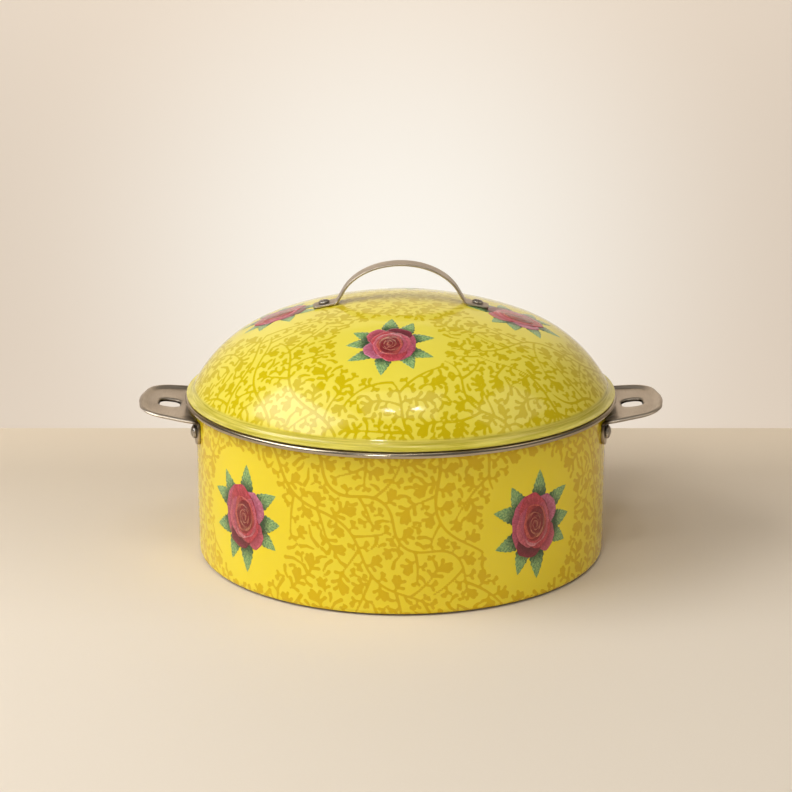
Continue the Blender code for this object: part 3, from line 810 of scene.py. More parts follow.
def printed_enamel(name, ground_colours, ink_colours):
    """Lemon enamel with the ochre leaf pattern, a plain olive rim streaked with painted shade and painted
    reflection, and a cream inside.
    """
    finish = Finish(name, Specular_IOR_Level=0.36)
    places = finish.places()
    wander = finish.times(finish.maths("SUBTRACT", finish.noise(places, 1400.0), 0.5), 0.35)
    near = finish.maths("ADD", finish.given("pattern"), wander)
    inked = finish.ranged(near, PATTERN_SWELL - 0.12, PATTERN_SWELL + 0.12, 1.0, 0.0)
    cloud = finish.ranged(finish.noise(places, 14.0, 3.0), 0.3, 0.7)
    grain = finish.ranged(finish.noise(places, 2600.0, 2.0, 0.7), 0.25, 0.75)
    light_grain, strong_grain = finish.times(grain, 0.25), finish.times(grain, 0.3)
    ground = finish.mix(light_grain, finish.mix(cloud, *ground_colours), GROUND_FLECK)
    ink = finish.mix(strong_grain, finish.mix(cloud, *ink_colours), INK_FLECK)
    colour = finish.mix(inked, ground, ink)
    # Plain rim: olive enamel, with darker olive painted shade and paler olive painted reflection in streaks
    # round it
    flattened = finish.scaled(places, (1.0, 1.0, 45.0))
    rings = finish.ranged(finish.noise(flattened, 24.0, 4.0, 0.65), 0.36, 0.62)
    olive = finish.mix(strong_grain, finish.mix(rings, RIM_SHADED_OLIVE, RIM_SHEEN_OLIVE), GROUND_FLECK)
    colour = finish.mix(finish.given("plain_rim"), colour, olive)
    cream = finish.mix(grain, INSIDE_CREAM, INSIDE_CREAM_FLECK)
    colour = finish.mix(finish.given("inside"), colour, cream)
    # A thin darker brown line along the pot's bottom edge
    colour = finish.mix(finish.given("dark_base_edge"), colour, EDGE_BROWN)
    finish.drive("Base Color", colour)
    relief = finish.maths("ADD", enamel_ripple(finish, places), finish.times(inked, 0.1))
    finish.bump(relief, ENAMEL_RELIEF, 0.8)
    return finish.material


def petal_print():
    """Rose petals: painted colours with a fine print grain and streaks."""
    finish = Finish("petal_print", Specular_IOR_Level=0.4)
    places = finish.places()
    spread = {"X": finish.given("across"), "Y": finish.times(finish.given("along"), 1.6)}
    spokes = finish.put("ShaderNodeCombineXYZ", spread).outputs[0]
    veins = finish.ranged(finish.noise(spokes, 2.2, 4.0, 0.7), 0.38, 0.62)
    cloud = finish.ranged(finish.noise(places, 380.0, 4.0, 0.75), 0.36, 0.64)
    grain = finish.ranged(finish.noise(places, 1900.0, 2.0, 0.8), 0.32, 0.68)
    colour = finish.mix(finish.times(veins, 0.55), finish.given("paint", "Color"), PETAL_SHADE, "MULTIPLY")
    colour = finish.mix(finish.times(cloud, 0.45), colour, PETAL_SHADE, "MULTIPLY")
    colour = finish.mix(finish.times(grain, 0.5), colour, PETAL_GLOW, "SCREEN")
    finish.drive("Base Color", colour)
    finish.bump(enamel_ripple(finish, places), ENAMEL_RELIEF, 0.8)
    return finish.material


def leaf_print():
    """Rose leaves: mottled grey green with darker bases, a pale midrib and side veins."""
    finish = Finish("leaf_print", Specular_IOR_Level=0.4)
    places = finish.places()
    along = finish.given("along")
    reach = finish.maths("ABSOLUTE", finish.given("across"))
    phase = finish.maths("SUBTRACT", finish.times(along, 46.0), finish.times(reach, 11.0))
    phase = finish.maths("ADD", phase, finish.times(finish.noise(places, 500.0), 5.0))
    veins = finish.ranged(finish.maths("SINE", phase), 0.1, 1.0)
    mottle = finish.ranged(finish.noise(places, 1000.0, 4.0, 0.8), 0.4, 0.62)
    green = finish.mix(mottle, LEAF_GREEN, LEAF_GREEN_PALE)
    green = finish.mix(finish.times(veins, 0.45), green, LEAF_GREEN_DARK)
    green = finish.mix(finish.ranged(reach, 0.05, 0.14, 0.55, 0.0), green, LEAF_RIB)
    from_base = finish.maths("ADD", along, finish.times(finish.noise(places, 700.0), 0.25))
    base = finish.ranged(from_base, 0.44, 0.84, 0.9, 0.0, "SMOOTHSTEP")
    finish.drive("Base Color", finish.mix(base, green, LEAF_BASE))
    finish.bump(enamel_ripple(finish, places), ENAMEL_RELIEF, 0.8)
    return finish.material


def brushed_steel(name, light, dark, roughness):
    """Satin steel whose brush lines follow the piece's own grain map, in millimetres."""
    finish = Finish(name, Metallic=1.0, Anisotropic=0.35)
    brushed = finish.scaled(finish.given("grain", "Vector"), (0.06, 3.5, 1.0))
    lines = finish.ranged(finish.noise(brushed, 1.0, 4.0, 0.7), 0.3, 0.7)
    cloud = finish.ranged(finish.noise(finish.places(), 45.0, 3.0), 0.35, 0.65)
    tone = finish.maths("ADD", finish.times(lines, 0.6), finish.times(cloud, 0.4))
    # Painted shade: darker where the piece's painted_shade map is high, in the handles' slot and fold
    colour = finish.mix(finish.given("painted_shade"), finish.mix(tone, light, dark), STEEL_PAINTED_SHADE)
    finish.drive("Base Color", colour)
    finish.drive("Roughness", finish.ranged(tone, 0.0, 1.0, roughness - 0.06, roughness + 0.08))
    finish.bump(lines, 0.00001, 0.35)
    return finish.material


def rivet_steel():
    """Darker hammered steel with small dents."""
    finish = Finish("rivet_steel", Metallic=1.0)
    places = finish.places()
    tone = finish.ranged(finish.noise(places, 800.0, 4.0, 0.7), 0.35, 0.65)
    finish.drive("Base Color", finish.mix(tone, RIVET_LIGHT, RIVET_DARK))
    finish.drive("Roughness", finish.ranged(tone, 0.0, 1.0, 0.22, 0.42))
    finish.bump(finish.noise(places, 420.0, 3.0, 0.6), 0.0005, 0.8)
    return finish.material


# Pot


def pot_profile():
    """From the middle of the floor inside, over the flange and down the outside to the axis below."""
    inner = BODY_RADIUS - BODY_WALL
    inner_corner = BASE_CORNER - BODY_WALL / 2
    inside = arc((inner - inner_corner, FLOOR_THICKNESS + inner_corner), inner_corner, -90, 0, 5)
    mouth = arc((inner + MOUTH_FILLET, FLANGE_TOP - MOUTH_FILLET), MOUTH_FILLET, 180, 90, 6)
    half = FLANGE_THICKNESS / 2
    edge = arc((FLANGE_RADIUS - half, FLANGE_TOP - half), half, 90, -90, 4)
    under = arc((BODY_RADIUS + UNDER_FILLET, FLANGE_BOTTOM - UNDER_FILLET), UNDER_FILLET, 90, 180, 4)
    corner = arc((BODY_RADIUS - BASE_CORNER, BASE_CORNER), BASE_CORNER, 0, -90, 6)
    floor = [(inner * share, FLOOR_THICKNESS) for share in (0.3, 0.6, 0.85)]
    base = [(BODY_RADIUS * share, 0.0) for share in (0.85, 0.6, 0.3)]
    coarse = 12.0 * MM
    rows = [(0.0, FLOOR_THICKNESS)] + floor + inside + straight(inside[-1], mouth[0], coarse) + mouth
    first_outside = len(rows)
    rows += edge + under + straight(under[-1], corner[0], ROW_PITCH) + corner + base + [(0.0, 0.0)]
    return rows, first_outside


def add_pot(pattern, enamel):
    rows, first_outside = pot_profile()
    points, faces = turned_solid(rows, TURN_STEPS)
    ring = np.repeat(np.arange(1, len(rows) - 1), TURN_STEPS)
    ring = np.append(ring, (0, len(rows) - 1))
    azimuth = np.arctan2(points[:, 0], -points[:, 1])
    along = azimuth * BODY_RADIUS / MM
    near = pattern.sample(along, points[:, 2] / MM)
    outside = ring >= first_outside
    on_wall = outside & (np.hypot(points[:, 0], points[:, 1]) > BODY_RADIUS - 1.5 * MM)
    # Darker brown towards the very bottom of the outside
    dark_edge = outside * (1 - smooth_step(points[:, 2], 0.2 * MM, 1.6 * MM))
    numbers = {
        "pattern": np.where(on_wall, near, PATTERN_REACH),
        "inside": 1.0 - outside,
        "plain_rim": np.zeros(len(points)),
        "dark_base_edge": dark_edge,
    }
    pot = make_piece("pot_enamel_shell", points, faces, numbers, [enamel])
    hand_over(pot, "pot", "pot_enamel", "pot_body")


def add_rim_band(steel):
    """A thin steel strip rolled over the flange, with a crowned outer face."""
    shoulder = BAND_RADIUS - BAND_CROWN
    slot = shoulder - BAND_WALL
    middle = (BAND_TOP + BAND_BOTTOM) / 2
    half = (BAND_TOP - BAND_BOTTOM) / 2
    top_round = arc((shoulder - BAND_ROUND, BAND_TOP - BAND_ROUND), BAND_ROUND, 90, 15, 5)
    crown = [
        (BAND_RADIUS - BAND_CROWN * (share / 0.62) ** 2, middle + half * share)
        for share in (0.45, 0.22, 0.0, -0.22, -0.45)
    ]
    bottom_round = [(r, 2 * middle - z) for r, z in top_round[::-1]]
    profile = [(BAND_INNER_RADIUS, BAND_TOP)] + top_round + crown + bottom_round
    profile += [
        (BAND_INNER_RADIUS, BAND_BOTTOM),
        (BAND_INNER_RADIUS, BAND_BOTTOM + BAND_WALL),
        (slot, BAND_BOTTOM + BAND_WALL),
        (slot, BAND_TOP - BAND_WALL),
        (BAND_INNER_RADIUS, BAND_TOP - BAND_WALL),
    ]
    angles = np.arange(BAND_STEPS) * 2 * math.pi / BAND_STEPS
    points, faces, rings = turned_rings(profile, angles)
    faces += ring_faces(rings[-1], rings[0])
    grain = np.zeros((len(points), 3))
    grain[:, 0] = np.tile(angles * BAND_RADIUS / MM, len(profile))
    grain[:, 1] = np.repeat(np.arange(len(profile)) * 0.6, BAND_STEPS)
    band = make_piece("rim_band", points, faces, {"grain": grain}, [steel], sharp=50)
    hand_over(band, "pot", "steel", "pot_rim_band")


# Lid


def square_disc(cells):
    """A square grid pressed into a disc of radius 1 whose rim points are evenly spread."""
    line = np.linspace(-1.0, 1.0, cells + 1)
    a, b = (grid.ravel() for grid in np.meshgrid(line, line, indexing="xy"))
    wide = np.abs(a) > np.abs(b)
    longer = np.where(wide, a, b)
    share = np.where(wide, b, a) / np.where(longer == 0, 1.0, longer)
    turn = np.where(wide, math.pi / 4 * share, math.pi / 2 - math.pi / 4 * share)
    x, y = longer * np.cos(turn), longer * np.sin(turn)
    index = np.arange((cells + 1) ** 2).reshape(cells + 1, cells + 1)
    faces = np.stack([index[:-1, :-1], index[:-1, 1:], index[1:, 1:], index[1:, :-1]], axis=-1)
    rim = np.concatenate([index[0, :-1], index[:-1, -1], index[-1, :0:-1], index[:0:-1, 0]])
    return x, y, faces.reshape(-1, 4).tolist(), rim


def flare(inset, start, end, steps):
    """The hollow quarter ellipse between the dome's foot and the flange's edge."""
    width = LID_FLANGE_RADIUS - LID_EDGE_RADIUS - DOME_FOOT_RADIUS
    angles = np.radians(np.linspace(start, end, steps + 1))
    return [
        (
            DOME_FOOT_RADIUS + width - (width + inset) * math.cos(a),
            DOME_FOOT_HEIGHT - (FLARE_DROP + inset) * math.sin(a),
        )
        for a in angles
    ]


def lid_underside():
    """From the dome's foot over the flange's edge, the seat and the lip, to near the apex inside."""
    edge = (LID_FLANGE_RADIUS - LID_EDGE_RADIUS, LID_SEAT + LID_EDGE_LIFT + LID_EDGE_RADIUS)
    lip_inside = LIP_RADIUS - LID_WALL
    lip_bottom = LID_SEAT - LIP_DEPTH
    fold_top = LID_SEAT + LID_WALL
    rim = flare(0.0, 15, 80, 8) + arc(edge, LID_EDGE_RADIUS, 80, -90, 6)
    rest = (
        [(SEAT_OUTER_RADIUS, LID_SEAT)]
        + arc((LIP_RADIUS + LIP_FILLET, LID_SEAT - LIP_FILLET), LIP_FILLET, 90, 180, 4)
        + arc((LIP_RADIUS - LID_WALL / 2, lip_bottom + LID_WALL / 2), LID_WALL / 2, 0, -180, 6)
        + arc((lip_inside + LIP_FILLET, fold_top - LIP_FILLET), LIP_FILLET, 180, 90, 3)
        + flare(LID_WALL, 50, 12, 4)
    )
    lengths = np.linspace(DOME_ARC, 0.0, 15)[:-1]
    radius, height = dome_section(lengths, -LID_WALL)
    return rim, rest + list(zip(radius, height))


def add_lid(pattern, enamel):
    x, y, faces, rim_points = square_disc(DOME_CELLS)
    flat = np.stack([x, y], axis=1) * DOME_ARC / MM
    points = dome_map(flat[:, 0], flat[:, 1])
    near = pattern.sample(flat[:, 0], flat[:, 1])
    start = len(points)
    angles = np.arctan2(points[rim_points, 1], points[rim_points, 0])
    rim, rest = lid_underside()
    more, more_faces, rings = turned_rings(rim + rest, angles, first=start)
    faces += ring_faces(rim_points, rings[0])
    faces += more_faces
    points = np.vstack([points, more, (0.0, 0.0, dome_section(np.array(0.0), -LID_WALL)[1])])
    last = len(points) - 1
    faces += [face[::-1] for face in fan(last, rings[-1])]
    ring = np.full(len(points), -1)
    ring[start:last] = np.repeat(np.arange(len(rim) + len(rest)), len(angles))
    ring[last] = len(rim) + len(rest)
    radius = np.hypot(points[:, 0], points[:, 1])
    under = ring >= len(rim)
    plain = smooth_step(radius, DOME_FOOT_RADIUS - 0.8 * MM, DOME_FOOT_RADIUS + 0.3 * MM)
    numbers = {
        "pattern": np.append(near, np.full(len(points) - start, PATTERN_REACH)),
        "inside": under.astype(float),
        "plain_rim": np.where(under, 0.0, plain),
        "dark_base_edge": np.zeros(len(points)),
    }
    lid = make_piece("lid_enamel_shell", points, faces, numbers, [enamel])
    hand_over(lid, "lid", "lid_enamel", "lid_shell")


# Roses


class Print:
    """Thin patches laid on a surface, each with paint colours and a place in a stack."""

    def __init__(self, surface, centre, turn, size):
        self.surface = surface
        self.centre = centre
        self.turn = turn
        self.size = size
        self.patches = []
        self.faces = []
        self.slots = []

    def lay(self, plan, faces, lift, slot, paint, along, across):
        """Adds a patch given by its plan in millimetres, round the print's centre and before its turn."""
        x, y = turned(*(plan.T * self.size), self.turn)
        places = self.surface(self.centre[0] + x, self.centre[1] + y, lift)
        first = sum(len(patch[0]) for patch in self.patches)
        self.patches.append((places, paint, along, across))
        self.faces += [tuple(int(i) + first for i in face) for face in faces]
        self.slots += [slot] * len(faces)

    def build(self, name, materials):
        points, paint, along, across = (np.concatenate(part) for part in zip(*self.patches))
        numbers = {"paint": paint, "along": along, "across": across}
        piece = make_piece(name, points, self.faces, numbers, materials)
        piece.data.polygons.foreach_set("material_index", self.slots)
        thicken = piece.modifiers.new("film", "SOLIDIFY")
        thicken.thickness = FILM * MM
        thicken.offset = -1.0
        return piece


def blend_colours(first, second, share):
    share = np.asarray(share)[:, None]
    return np.array(first) * (1 - share) + np.array(second) * share


def lay_petal(rose, layer, centre, half, tilt, wave, dark, light, glow, rim=2.2):
    """A rounded petal with a wavy rim, dark inside and lit towards its rim on the side of `glow`."""
    rings, steps = 8, 52
    angles = np.arange(steps) * 2 * math.pi / steps
    reach = 1.0 + wave * (
        np.sin(3 * angles + layer * 1.7)
        + 0.6 * np.sin(5 * angles + layer * 2.9)
        + 0.35 * np.sin(9 * angles + layer * 4.3)
    )
    shares = np.linspace(0, 1, rings + 1)[1:] ** 0.8
    x = half[0] * np.cos(angles)[None, :] * reach * shares[:, None]
    y = half[1] * np.sin(angles)[None, :] * reach * shares[:, None]
    plan = np.stack(turned(x, y, math.radians(tilt)), axis=-1).reshape(-1, 2)
    plan = np.vstack([plan, (0.0, 0.0)]) + centre
    index = np.arange(rings * steps).reshape(rings, steps)
    faces = fan(rings * steps, index[0])
    for inner, outer in zip(index, index[1:]):
        faces += ring_faces(outer, inner)
    toward = np.cos(angles - math.radians(glow - tilt))[None, :]
    share = (0.1 + 0.9 * shares[:, None] ** rim) * (0.46 + 0.54 * toward) + 0.05 * toward
    paint = blend_colours(dark, light, np.append(np.clip(share, 0, 1).ravel(), 0.05))
    along = np.append(np.repeat(shares, steps), 0.0)
    round_it = np.stack([np.cos(angles), np.sin(angles)])
    across = np.append(np.tile(round_it[0] + 2.7 * round_it[1], rings) * 3.0, 0.0)
    rose.lay(plan, faces, PETAL_LIFT + PETAL_STEP * layer, 0, paint, along, across)


def lay_leaf(rose, azimuth, reach, half_width, hook):
    """A pointed leaf from under the flower to its tip, with a saw edge and a tip that hooks aside."""
    rows, columns = 42, 6
    u = np.linspace(0.0, 1.0, rows + 1)[:, None]
    v = np.linspace(-1.0, 1.0, columns + 1)[None, :]
    width = half_width * np.sin(math.pi * u**0.72) ** 0.85 * (1 - 0.15 * u) + 0.25 * (1 - u) + 0.03
    width = width * (1 + 0.07 * np.sin(u * 2 * math.pi * 7) * np.abs(v))
    away = LEAF_START + (reach - LEAF_START) * u + 0 * v
    aside = width * v + hook * (u**2.2 - 0.35 * np.sin(math.pi * u))
    plan = np.stack(turned(away, aside, azimuth), axis=-1).reshape(-1, 2)
    index = np.arange((rows + 1) * (columns + 1)).reshape(rows + 1, columns + 1)
    along = np.broadcast_to(u, away.shape).ravel()
    across = np.broadcast_to(v, away.shape).ravel()
    paint = np.tile(LEAF_GREEN, (len(plan), 1))
    rose.lay(plan, grid_faces(index), LEAF_LIFT, 1, paint, along, across)


def lay_rose(rose):
    """A generic rose: leaves all round, outer petals and a spiral of smaller ones."""
    across, up = LEAF_REACH
    for k in range(LEAVES):
        azimuth = math.radians(82 + 360 / LEAVES * k + 8 * math.sin(2.3 * k))
        reach = math.hypot(across * math.cos(azimuth), up * math.sin(azimuth)) + 1.2 * math.sin(4.1 * k)
        half_width = LEAF_HALF_WIDTH + 0.6 * math.sin(3.1 * k)
        lay_leaf(rose, azimuth, reach, half_width, 2.6 * math.cos(2.7 * k + 1))
    for layer, (centre, half, tilt, wave, (dark, light), glow) in enumerate(PETALS):
        lay_petal(rose, layer, centre, half, tilt, wave, dark, light, glow)
    for k in range(SPIRAL_PETALS):
        shrink = SPIRAL_SHRINK**k
        turn = 70 + GOLDEN_ANGLE * k
        centre = 1.1 * shrink * heading_vector(math.radians(turn)) + (0.4, 0.4)
        half = [size * shrink for size in SPIRAL_HALF_SIZE]
        lay_petal(rose, len(PETALS) + k, centre, half, 6, 0.04, *PEACH, turn + 180, 6.0)


def add_roses(materials):
    for k, azimuth in enumerate(WALL_ROSE_AZIMUTHS):
        along = math.radians(azimuth) * BODY_RADIUS / MM
        rose = Print(wall_map, (along, WALL_ROSE_HEIGHT), 0.0, 1.0)
        lay_rose(rose)
        hand_over(rose.build(f"wall_rose_{k + 1}", materials), "pot", "pot_enamel")
    for k, (azimuth, distance, size) in enumerate(LID_ROSES):
        centre = rose_centre_on_lid(azimuth, distance)
        rose = Print(dome_map, centre, math.radians(azimuth + 180), size)
        lay_rose(rose)
        hand_over(rose.build(f"lid_rose_{k + 1}", materials), "lid", "lid_enamel")


# Lid strap


def over_crown(lift):
    """The crown's slope at the lid's right rivet, and the place `lift` over it, as x and z."""
    slope = math.asin(LID_RIVET_X / CROWN_RADIUS)
    reach = CROWN_RADIUS + lift
    return slope, reach * math.sin(slope), CROWN_HEIGHT + reach * math.cos(slope)


def strap_path():
    """The underside of the lid strap from its right foot's tip to its left foot's tip, as (x, z)."""
    slope, rivet_x, rivet_z = over_crown(1.3 * GAP)
    angles = np.linspace(ARCH_FOOT_ANGLE, math.pi / 2, 40)
    arch = [(ARCH_HALF_SPAN * math.cos(a), ARCH_BASE_HEIGHT + ARCH_RISE * math.sin(a)) for a in angles]
    rise = ARCH_RISE / ARCH_HALF_SPAN / math.tan(ARCH_FOOT_ANGLE)
    fall = math.tan(slope)
    tip = (FOOT_TIP, rivet_z - (FOOT_TIP - rivet_x) * fall)
    corner_x = (arch[0][1] + rise * arch[0][0] - rivet_z - rivet_x * fall) / (rise - fall)
    corner = (corner_x, rivet_z + (rivet_x - corner_x) * fall)
    bend = fillet(tip, corner, arch[0], FOOT_BEND_RADIUS, 10)
    half = [tip] + straight(tip, bend[0], 0.45 * MM) + bend + arch
    return np.array(half + [(-x, z) for x, z in half[-2::-1]])


def add_lid_strap(steel):
    """A bent strap with rounded edges and a slightly crowned top, its two feet rounded at their tips."""
    path = strap_path()
    ahead = np.gradient(path, axis=0)
    ahead /= np.hypot(*ahead.T)[:, None]
    outward = np.stack([ahead[:, 1], -ahead[:, 0]], axis=1)
    run = np.append(0.0, np.cumsum(np.hypot(*np.diff(path, axis=0).T)))
    to_tip = np.minimum(run, run[-1] - run)
    short = np.clip(FOOT_CORNER - to_tip, 0.0, FOOT_CORNER)
    half_width = STRAP_WIDTH / 2 - FOOT_CORNER + np.sqrt(FOOT_CORNER**2 - short**2)
    side = arc((-STRAP_EDGE, STRAP_EDGE), STRAP_EDGE, -90, -22.5, 3)
    side += [(0.0, STRAP_THICKNESS / 2)]
    side += arc((-STRAP_EDGE, STRAP_THICKNESS - STRAP_EDGE), STRAP_EDGE, 22.5, 90, 3)
    across = np.linspace(-0.8, 0.8, 5)
    points, grain = [], []
    for (x, z), (nx, nz), half, place in zip(path, outward, half_width, run):
        section = [(half + inset, height) for inset, height in side]
        section += [(-half * share, STRAP_THICKNESS) for share in across]
        section += [(-half - inset, height) for inset, height in side[::-1]]
        section += [(half * share, 0.0) for share in across]
        for wide, height in section:
            sunk = 0.12 * MM * (wide / half) ** 2 if height > STRAP_THICKNESS / 2 else 0.0
            points.append((x + nx * (height - sunk), wide, z + nz * (height - sunk)))
            grain.append((place / MM, wide / MM, 0.0))
    count = len(points) // len(path)
    rings = np.arange(len(points)).reshape(len(path), count)
    faces = []
    for first, second in zip(rings, rings[1:]):
        faces += ring_faces(second, first)
    faces += [tuple(int(i) for i in rings[0]), tuple(int(i) for i in rings[-1][::-1])]
    strap = make_piece("lid_strap", points, faces, {"grain": grain}, [steel], sharp=40)
    face_outwards(strap)
    hand_over(strap, "lid", "steel", "lid_handle")


# Side handles


def slot_outline(outset, steps=10):
    """The finger slot's rounded rectangle in plan, widened by `outset`."""
    corner = SLOT_CORNER + outset
    xs = (SLOT_START + SLOT_CORNER, SLOT_END - SLOT_CORNER)
    y = SLOT_HALF_WIDTH - SLOT_CORNER
    corners = ((xs[1], y, 0), (xs[0], y, 90), (xs[0], -y, 180), (xs[1], -y, 270))
    rounds = []
    for cx, cy, turn in corners:
        rounds += arc((cx, cy), corner, turn, turn + 90, steps)
    points = []
    for start, end in zip(rounds, rounds[1:] + rounds[:1]):
        points += [start] + straight(start, end, 0.8 * MM)
    return points


def flange_columns():
    """Distances along the pot's wall from the handle's middle to each column of its flange."""
    ear = BODY_RADIUS * TAB_AZIMUTH
    shares = np.concatenate([[-1.5, -1.2], -np.cos(np.linspace(0, math.pi, 15))])
    ears = ear + TAB_HALF_WIDTH * shares
    middle = np.linspace(0, ears[0], 16)[1:-1]
    half = np.concatenate([middle, ears])
    return np.concatenate([-half[::-1], [0.0], half])


def bend_radius(along):
    """The fold to the flange, which is wide in the middle and tighter at both ends."""
    ease = smooth_step(np.abs(along), BEND_EASE_START, BEND_EASE_START + BEND_EASE_LENGTH)
    return BEND_RADIUS + (BEND_END_RADIUS - BEND_RADIUS) * ease


def flange_bottom(along):
    """The flange's lower edge: a rounded ear round each rivet and a straight stretch between them."""
    ear = BODY_RADIUS * TAB_AZIMUTH
    across = np.minimum(1.0, np.abs(np.abs(along) - ear) / TAB_HALF_WIDTH)
    low = TAB_BOTTOM + TAB_HALF_WIDTH * (1 - np.sqrt(1 - across**2))
    return np.where(np.abs(along) < ear - 1.15 * TAB_HALF_WIDTH, FLANGE_MIDDLE_BOTTOM, low)


def wall_point(along, radius):
    """Points in plan at a distance from the pot's axis, opposite places along its wall."""
    angle = along / BODY_RADIUS
    return np.stack([radius * np.cos(angle), radius * np.sin(angle)], axis=-1)


def fold_line():
    """Where the plate's upper face starts to bend down, in plan, from front to rear."""
    along = flange_columns()
    return wall_point(along, FLANGE_FACE_RADIUS + bend_radius(along))


def plate_rim():
    """The plate's free edge in plan, from the fold's front end round its outside to the rear end."""
    end = tuple(fold_line()[-1])
    shares = np.linspace(0, 1, 9)
    nose = [(PLATE_REACH - PLATE_NOSE_SAG * share**2, PLATE_NOSE_Y * share) for share in shares]
    waist = (PLATE_WAIST_X, PLATE_WAIST_Y)
    corner = fillet(nose[-1], (PLATE_CORNER_X, PLATE_CORNER_Y), waist, PLATE_CORNER_RADIUS, 22)
    half = corner + straight(corner[-1], waist, 1.6 * MM) + [waist] + straight(waist, end, 1.6 * MM) + [end]
    half = nose + straight(nose[-1], corner[0], 1.6 * MM) + half
    return np.array([(x, -y) for x, y in half[:0:-1]] + half)


def distance_to(points, path):
    """The shortest distance in plan from each point to an open path."""
    nearest = np.full(len(points), np.inf)
    for start, end in zip(path, path[1:]):
        along = end - start
        share = np.clip((points - start) @ along / (along @ along), 0, 1)
        nearest = np.minimum(nearest, np.hypot(*(points - start - share[:, None] * along).T))
    return nearest


def rim_rise(distance):
    """The raised rim's height over the panel at a distance in from the plate's edge."""
    outer = RIM_RISE - RIM_FALL * (1 - distance / RIM_CREST) ** 2
    share = np.clip((distance - RIM_CREST) / (RIM_WIDTH - RIM_CREST), 0, 1)
    return np.where(distance < RIM_CREST, outer, RIM_RISE * (1 + np.cos(math.pi * share)) / 2)


def slot_distance(points):
    """The shortest distance in plan from each point to the slot's edge."""
    slot = slot_outline(0.0)
    return distance_to(points, np.array(slot + slot[:1]))


def slot_fall(distance):
    """How far the slot's rolled edge has fallen at a distance out from the slot."""
    share = np.clip(distance / SLOT_EDGE_WIDTH, 0, 1)
    return SLOT_EDGE_DROP * (1 - np.sqrt(1 - (1 - share) ** 2))


def plate_height(points):
    """The upper face: a panel that climbs outwards, with a raised rim and a rolled slot edge."""
    shape = rim_rise(distance_to(points, plate_rim())) - slot_fall(slot_distance(points))
    return PANEL_HEIGHT + (points[:, 0] - SLOT_START) * math.tan(PLATE_TILT) + shape


def inside(points, loop):
    """Which points lie inside a closed loop, by counting the sides that a ray crosses."""
    crossings = np.zeros(len(points), int)
    for (x1, y1), (x2, y2) in zip(loop, np.roll(loop, -1, axis=0)):
        spans = (y1 > points[:, 1]) != (y2 > points[:, 1])
        at = x1 + (x2 - x1) * (points[:, 1] - y1) / (y2 - y1 if y2 != y1 else 1.0)
        crossings += spans & (points[:, 0] < at)
    return crossings % 2 == 1


def plate_mesh():
    """The plate's upper face with its slot, as far as the fold: points in plan and triangles."""
    rim = plate_rim()
    outline = np.vstack([rim, fold_line()[-2:0:-1]])
    slot = np.array(slot_outline(0.0))
    edges = [(i, (i + 1) % len(outline)) for i in range(len(outline))]
    edges += [(len(outline) + i, len(outline) + (i + 1) % len(slot)) for i in range(len(slot))]
    points = [outline, slot]
    points += [np.array(slot_outline(SLOT_EDGE_WIDTH * share)) for share in (0.12, 0.3, 0.6, 1.0, 1.6)]
    along = rim[2:] - rim[:-2]
    normal = np.stack([-along[:, 1], along[:, 0]], axis=1) / np.hypot(*along.T)[:, None]
    for inset in np.linspace(0.5, RIM_WIDTH / MM + 0.4, 10) * MM:
        row = rim[1:-1] + normal * inset
        points.append(row[distance_to(row, rim) > inset - 0.05 * MM])
    half_width = PLATE_WAIST_Y + 4.1 * MM
    columns = np.arange(PLATE_WAIST_X - 10 * MM, PLATE_REACH, PANEL_PITCH)
    rows = np.arange(-half_width, half_width, PANEL_PITCH)
    grid = np.stack(np.meshgrid(columns, rows), axis=-1).reshape(-1, 2)
    clear_of_rim = distance_to(grid, outline) > RIM_WIDTH + 1.2 * MM
    clear_of_slot = slot_distance(grid) > SLOT_EDGE_WIDTH + 1.6 * MM
    points.append(grid[clear_of_rim & clear_of_slot])
    points = np.vstack(points)
    plan, _, triangles, *_ = delaunay_2d_cdt([Vector(p) for p in points], edges, [], 1, 1e-6)
    plan = np.array([tuple(p) for p in plan])
    triangles = np.array(triangles)
    in_slot = inside(plan[triangles].mean(axis=1), slot)
    return plan, triangles[~in_slot]


def flange_rows(columns):
    """The fold and the flange: rows of points from the plate's fold line down to the lower edge."""
    radius = bend_radius(columns)
    top = plate_height(fold_line())
    rows = []
    for turn in np.linspace(0, math.pi / 2, 9):
        plan = wall_point(columns, FLANGE_FACE_RADIUS + radius * (1 - math.sin(turn)))
        rows.append(np.column_stack([plan, top - radius * (1 - math.cos(turn))]))
    face = wall_point(columns, FLANGE_FACE_RADIUS)
    below_fold = rows[-1][:, 2]
    for share in (0.25, 0.5, 0.75, 1.0):
        height = below_fold * (1 - share) + flange_bottom(columns) * share
        rows.append(np.column_stack([face, height]))
    return rows


def handle_painted_shade(points):
    """Painted shade on the steel: darker inside the slot, and in the fold next to the pot where shade falls.
    """
    in_slot = 1.0 - smooth_step(slot_distance(points[:, :2]), 0.3 * MM, 1.0 * MM)
    inwards = PLATE_WAIST_X - np.hypot(points[:, 0], points[:, 1])
    in_fold = smooth_step(inwards, -1.0 * MM, 3.0 * MM) * smooth_step(points[:, 2], 85 * MM, 90 * MM)
    return np.maximum(in_slot, 0.85 * in_fold)


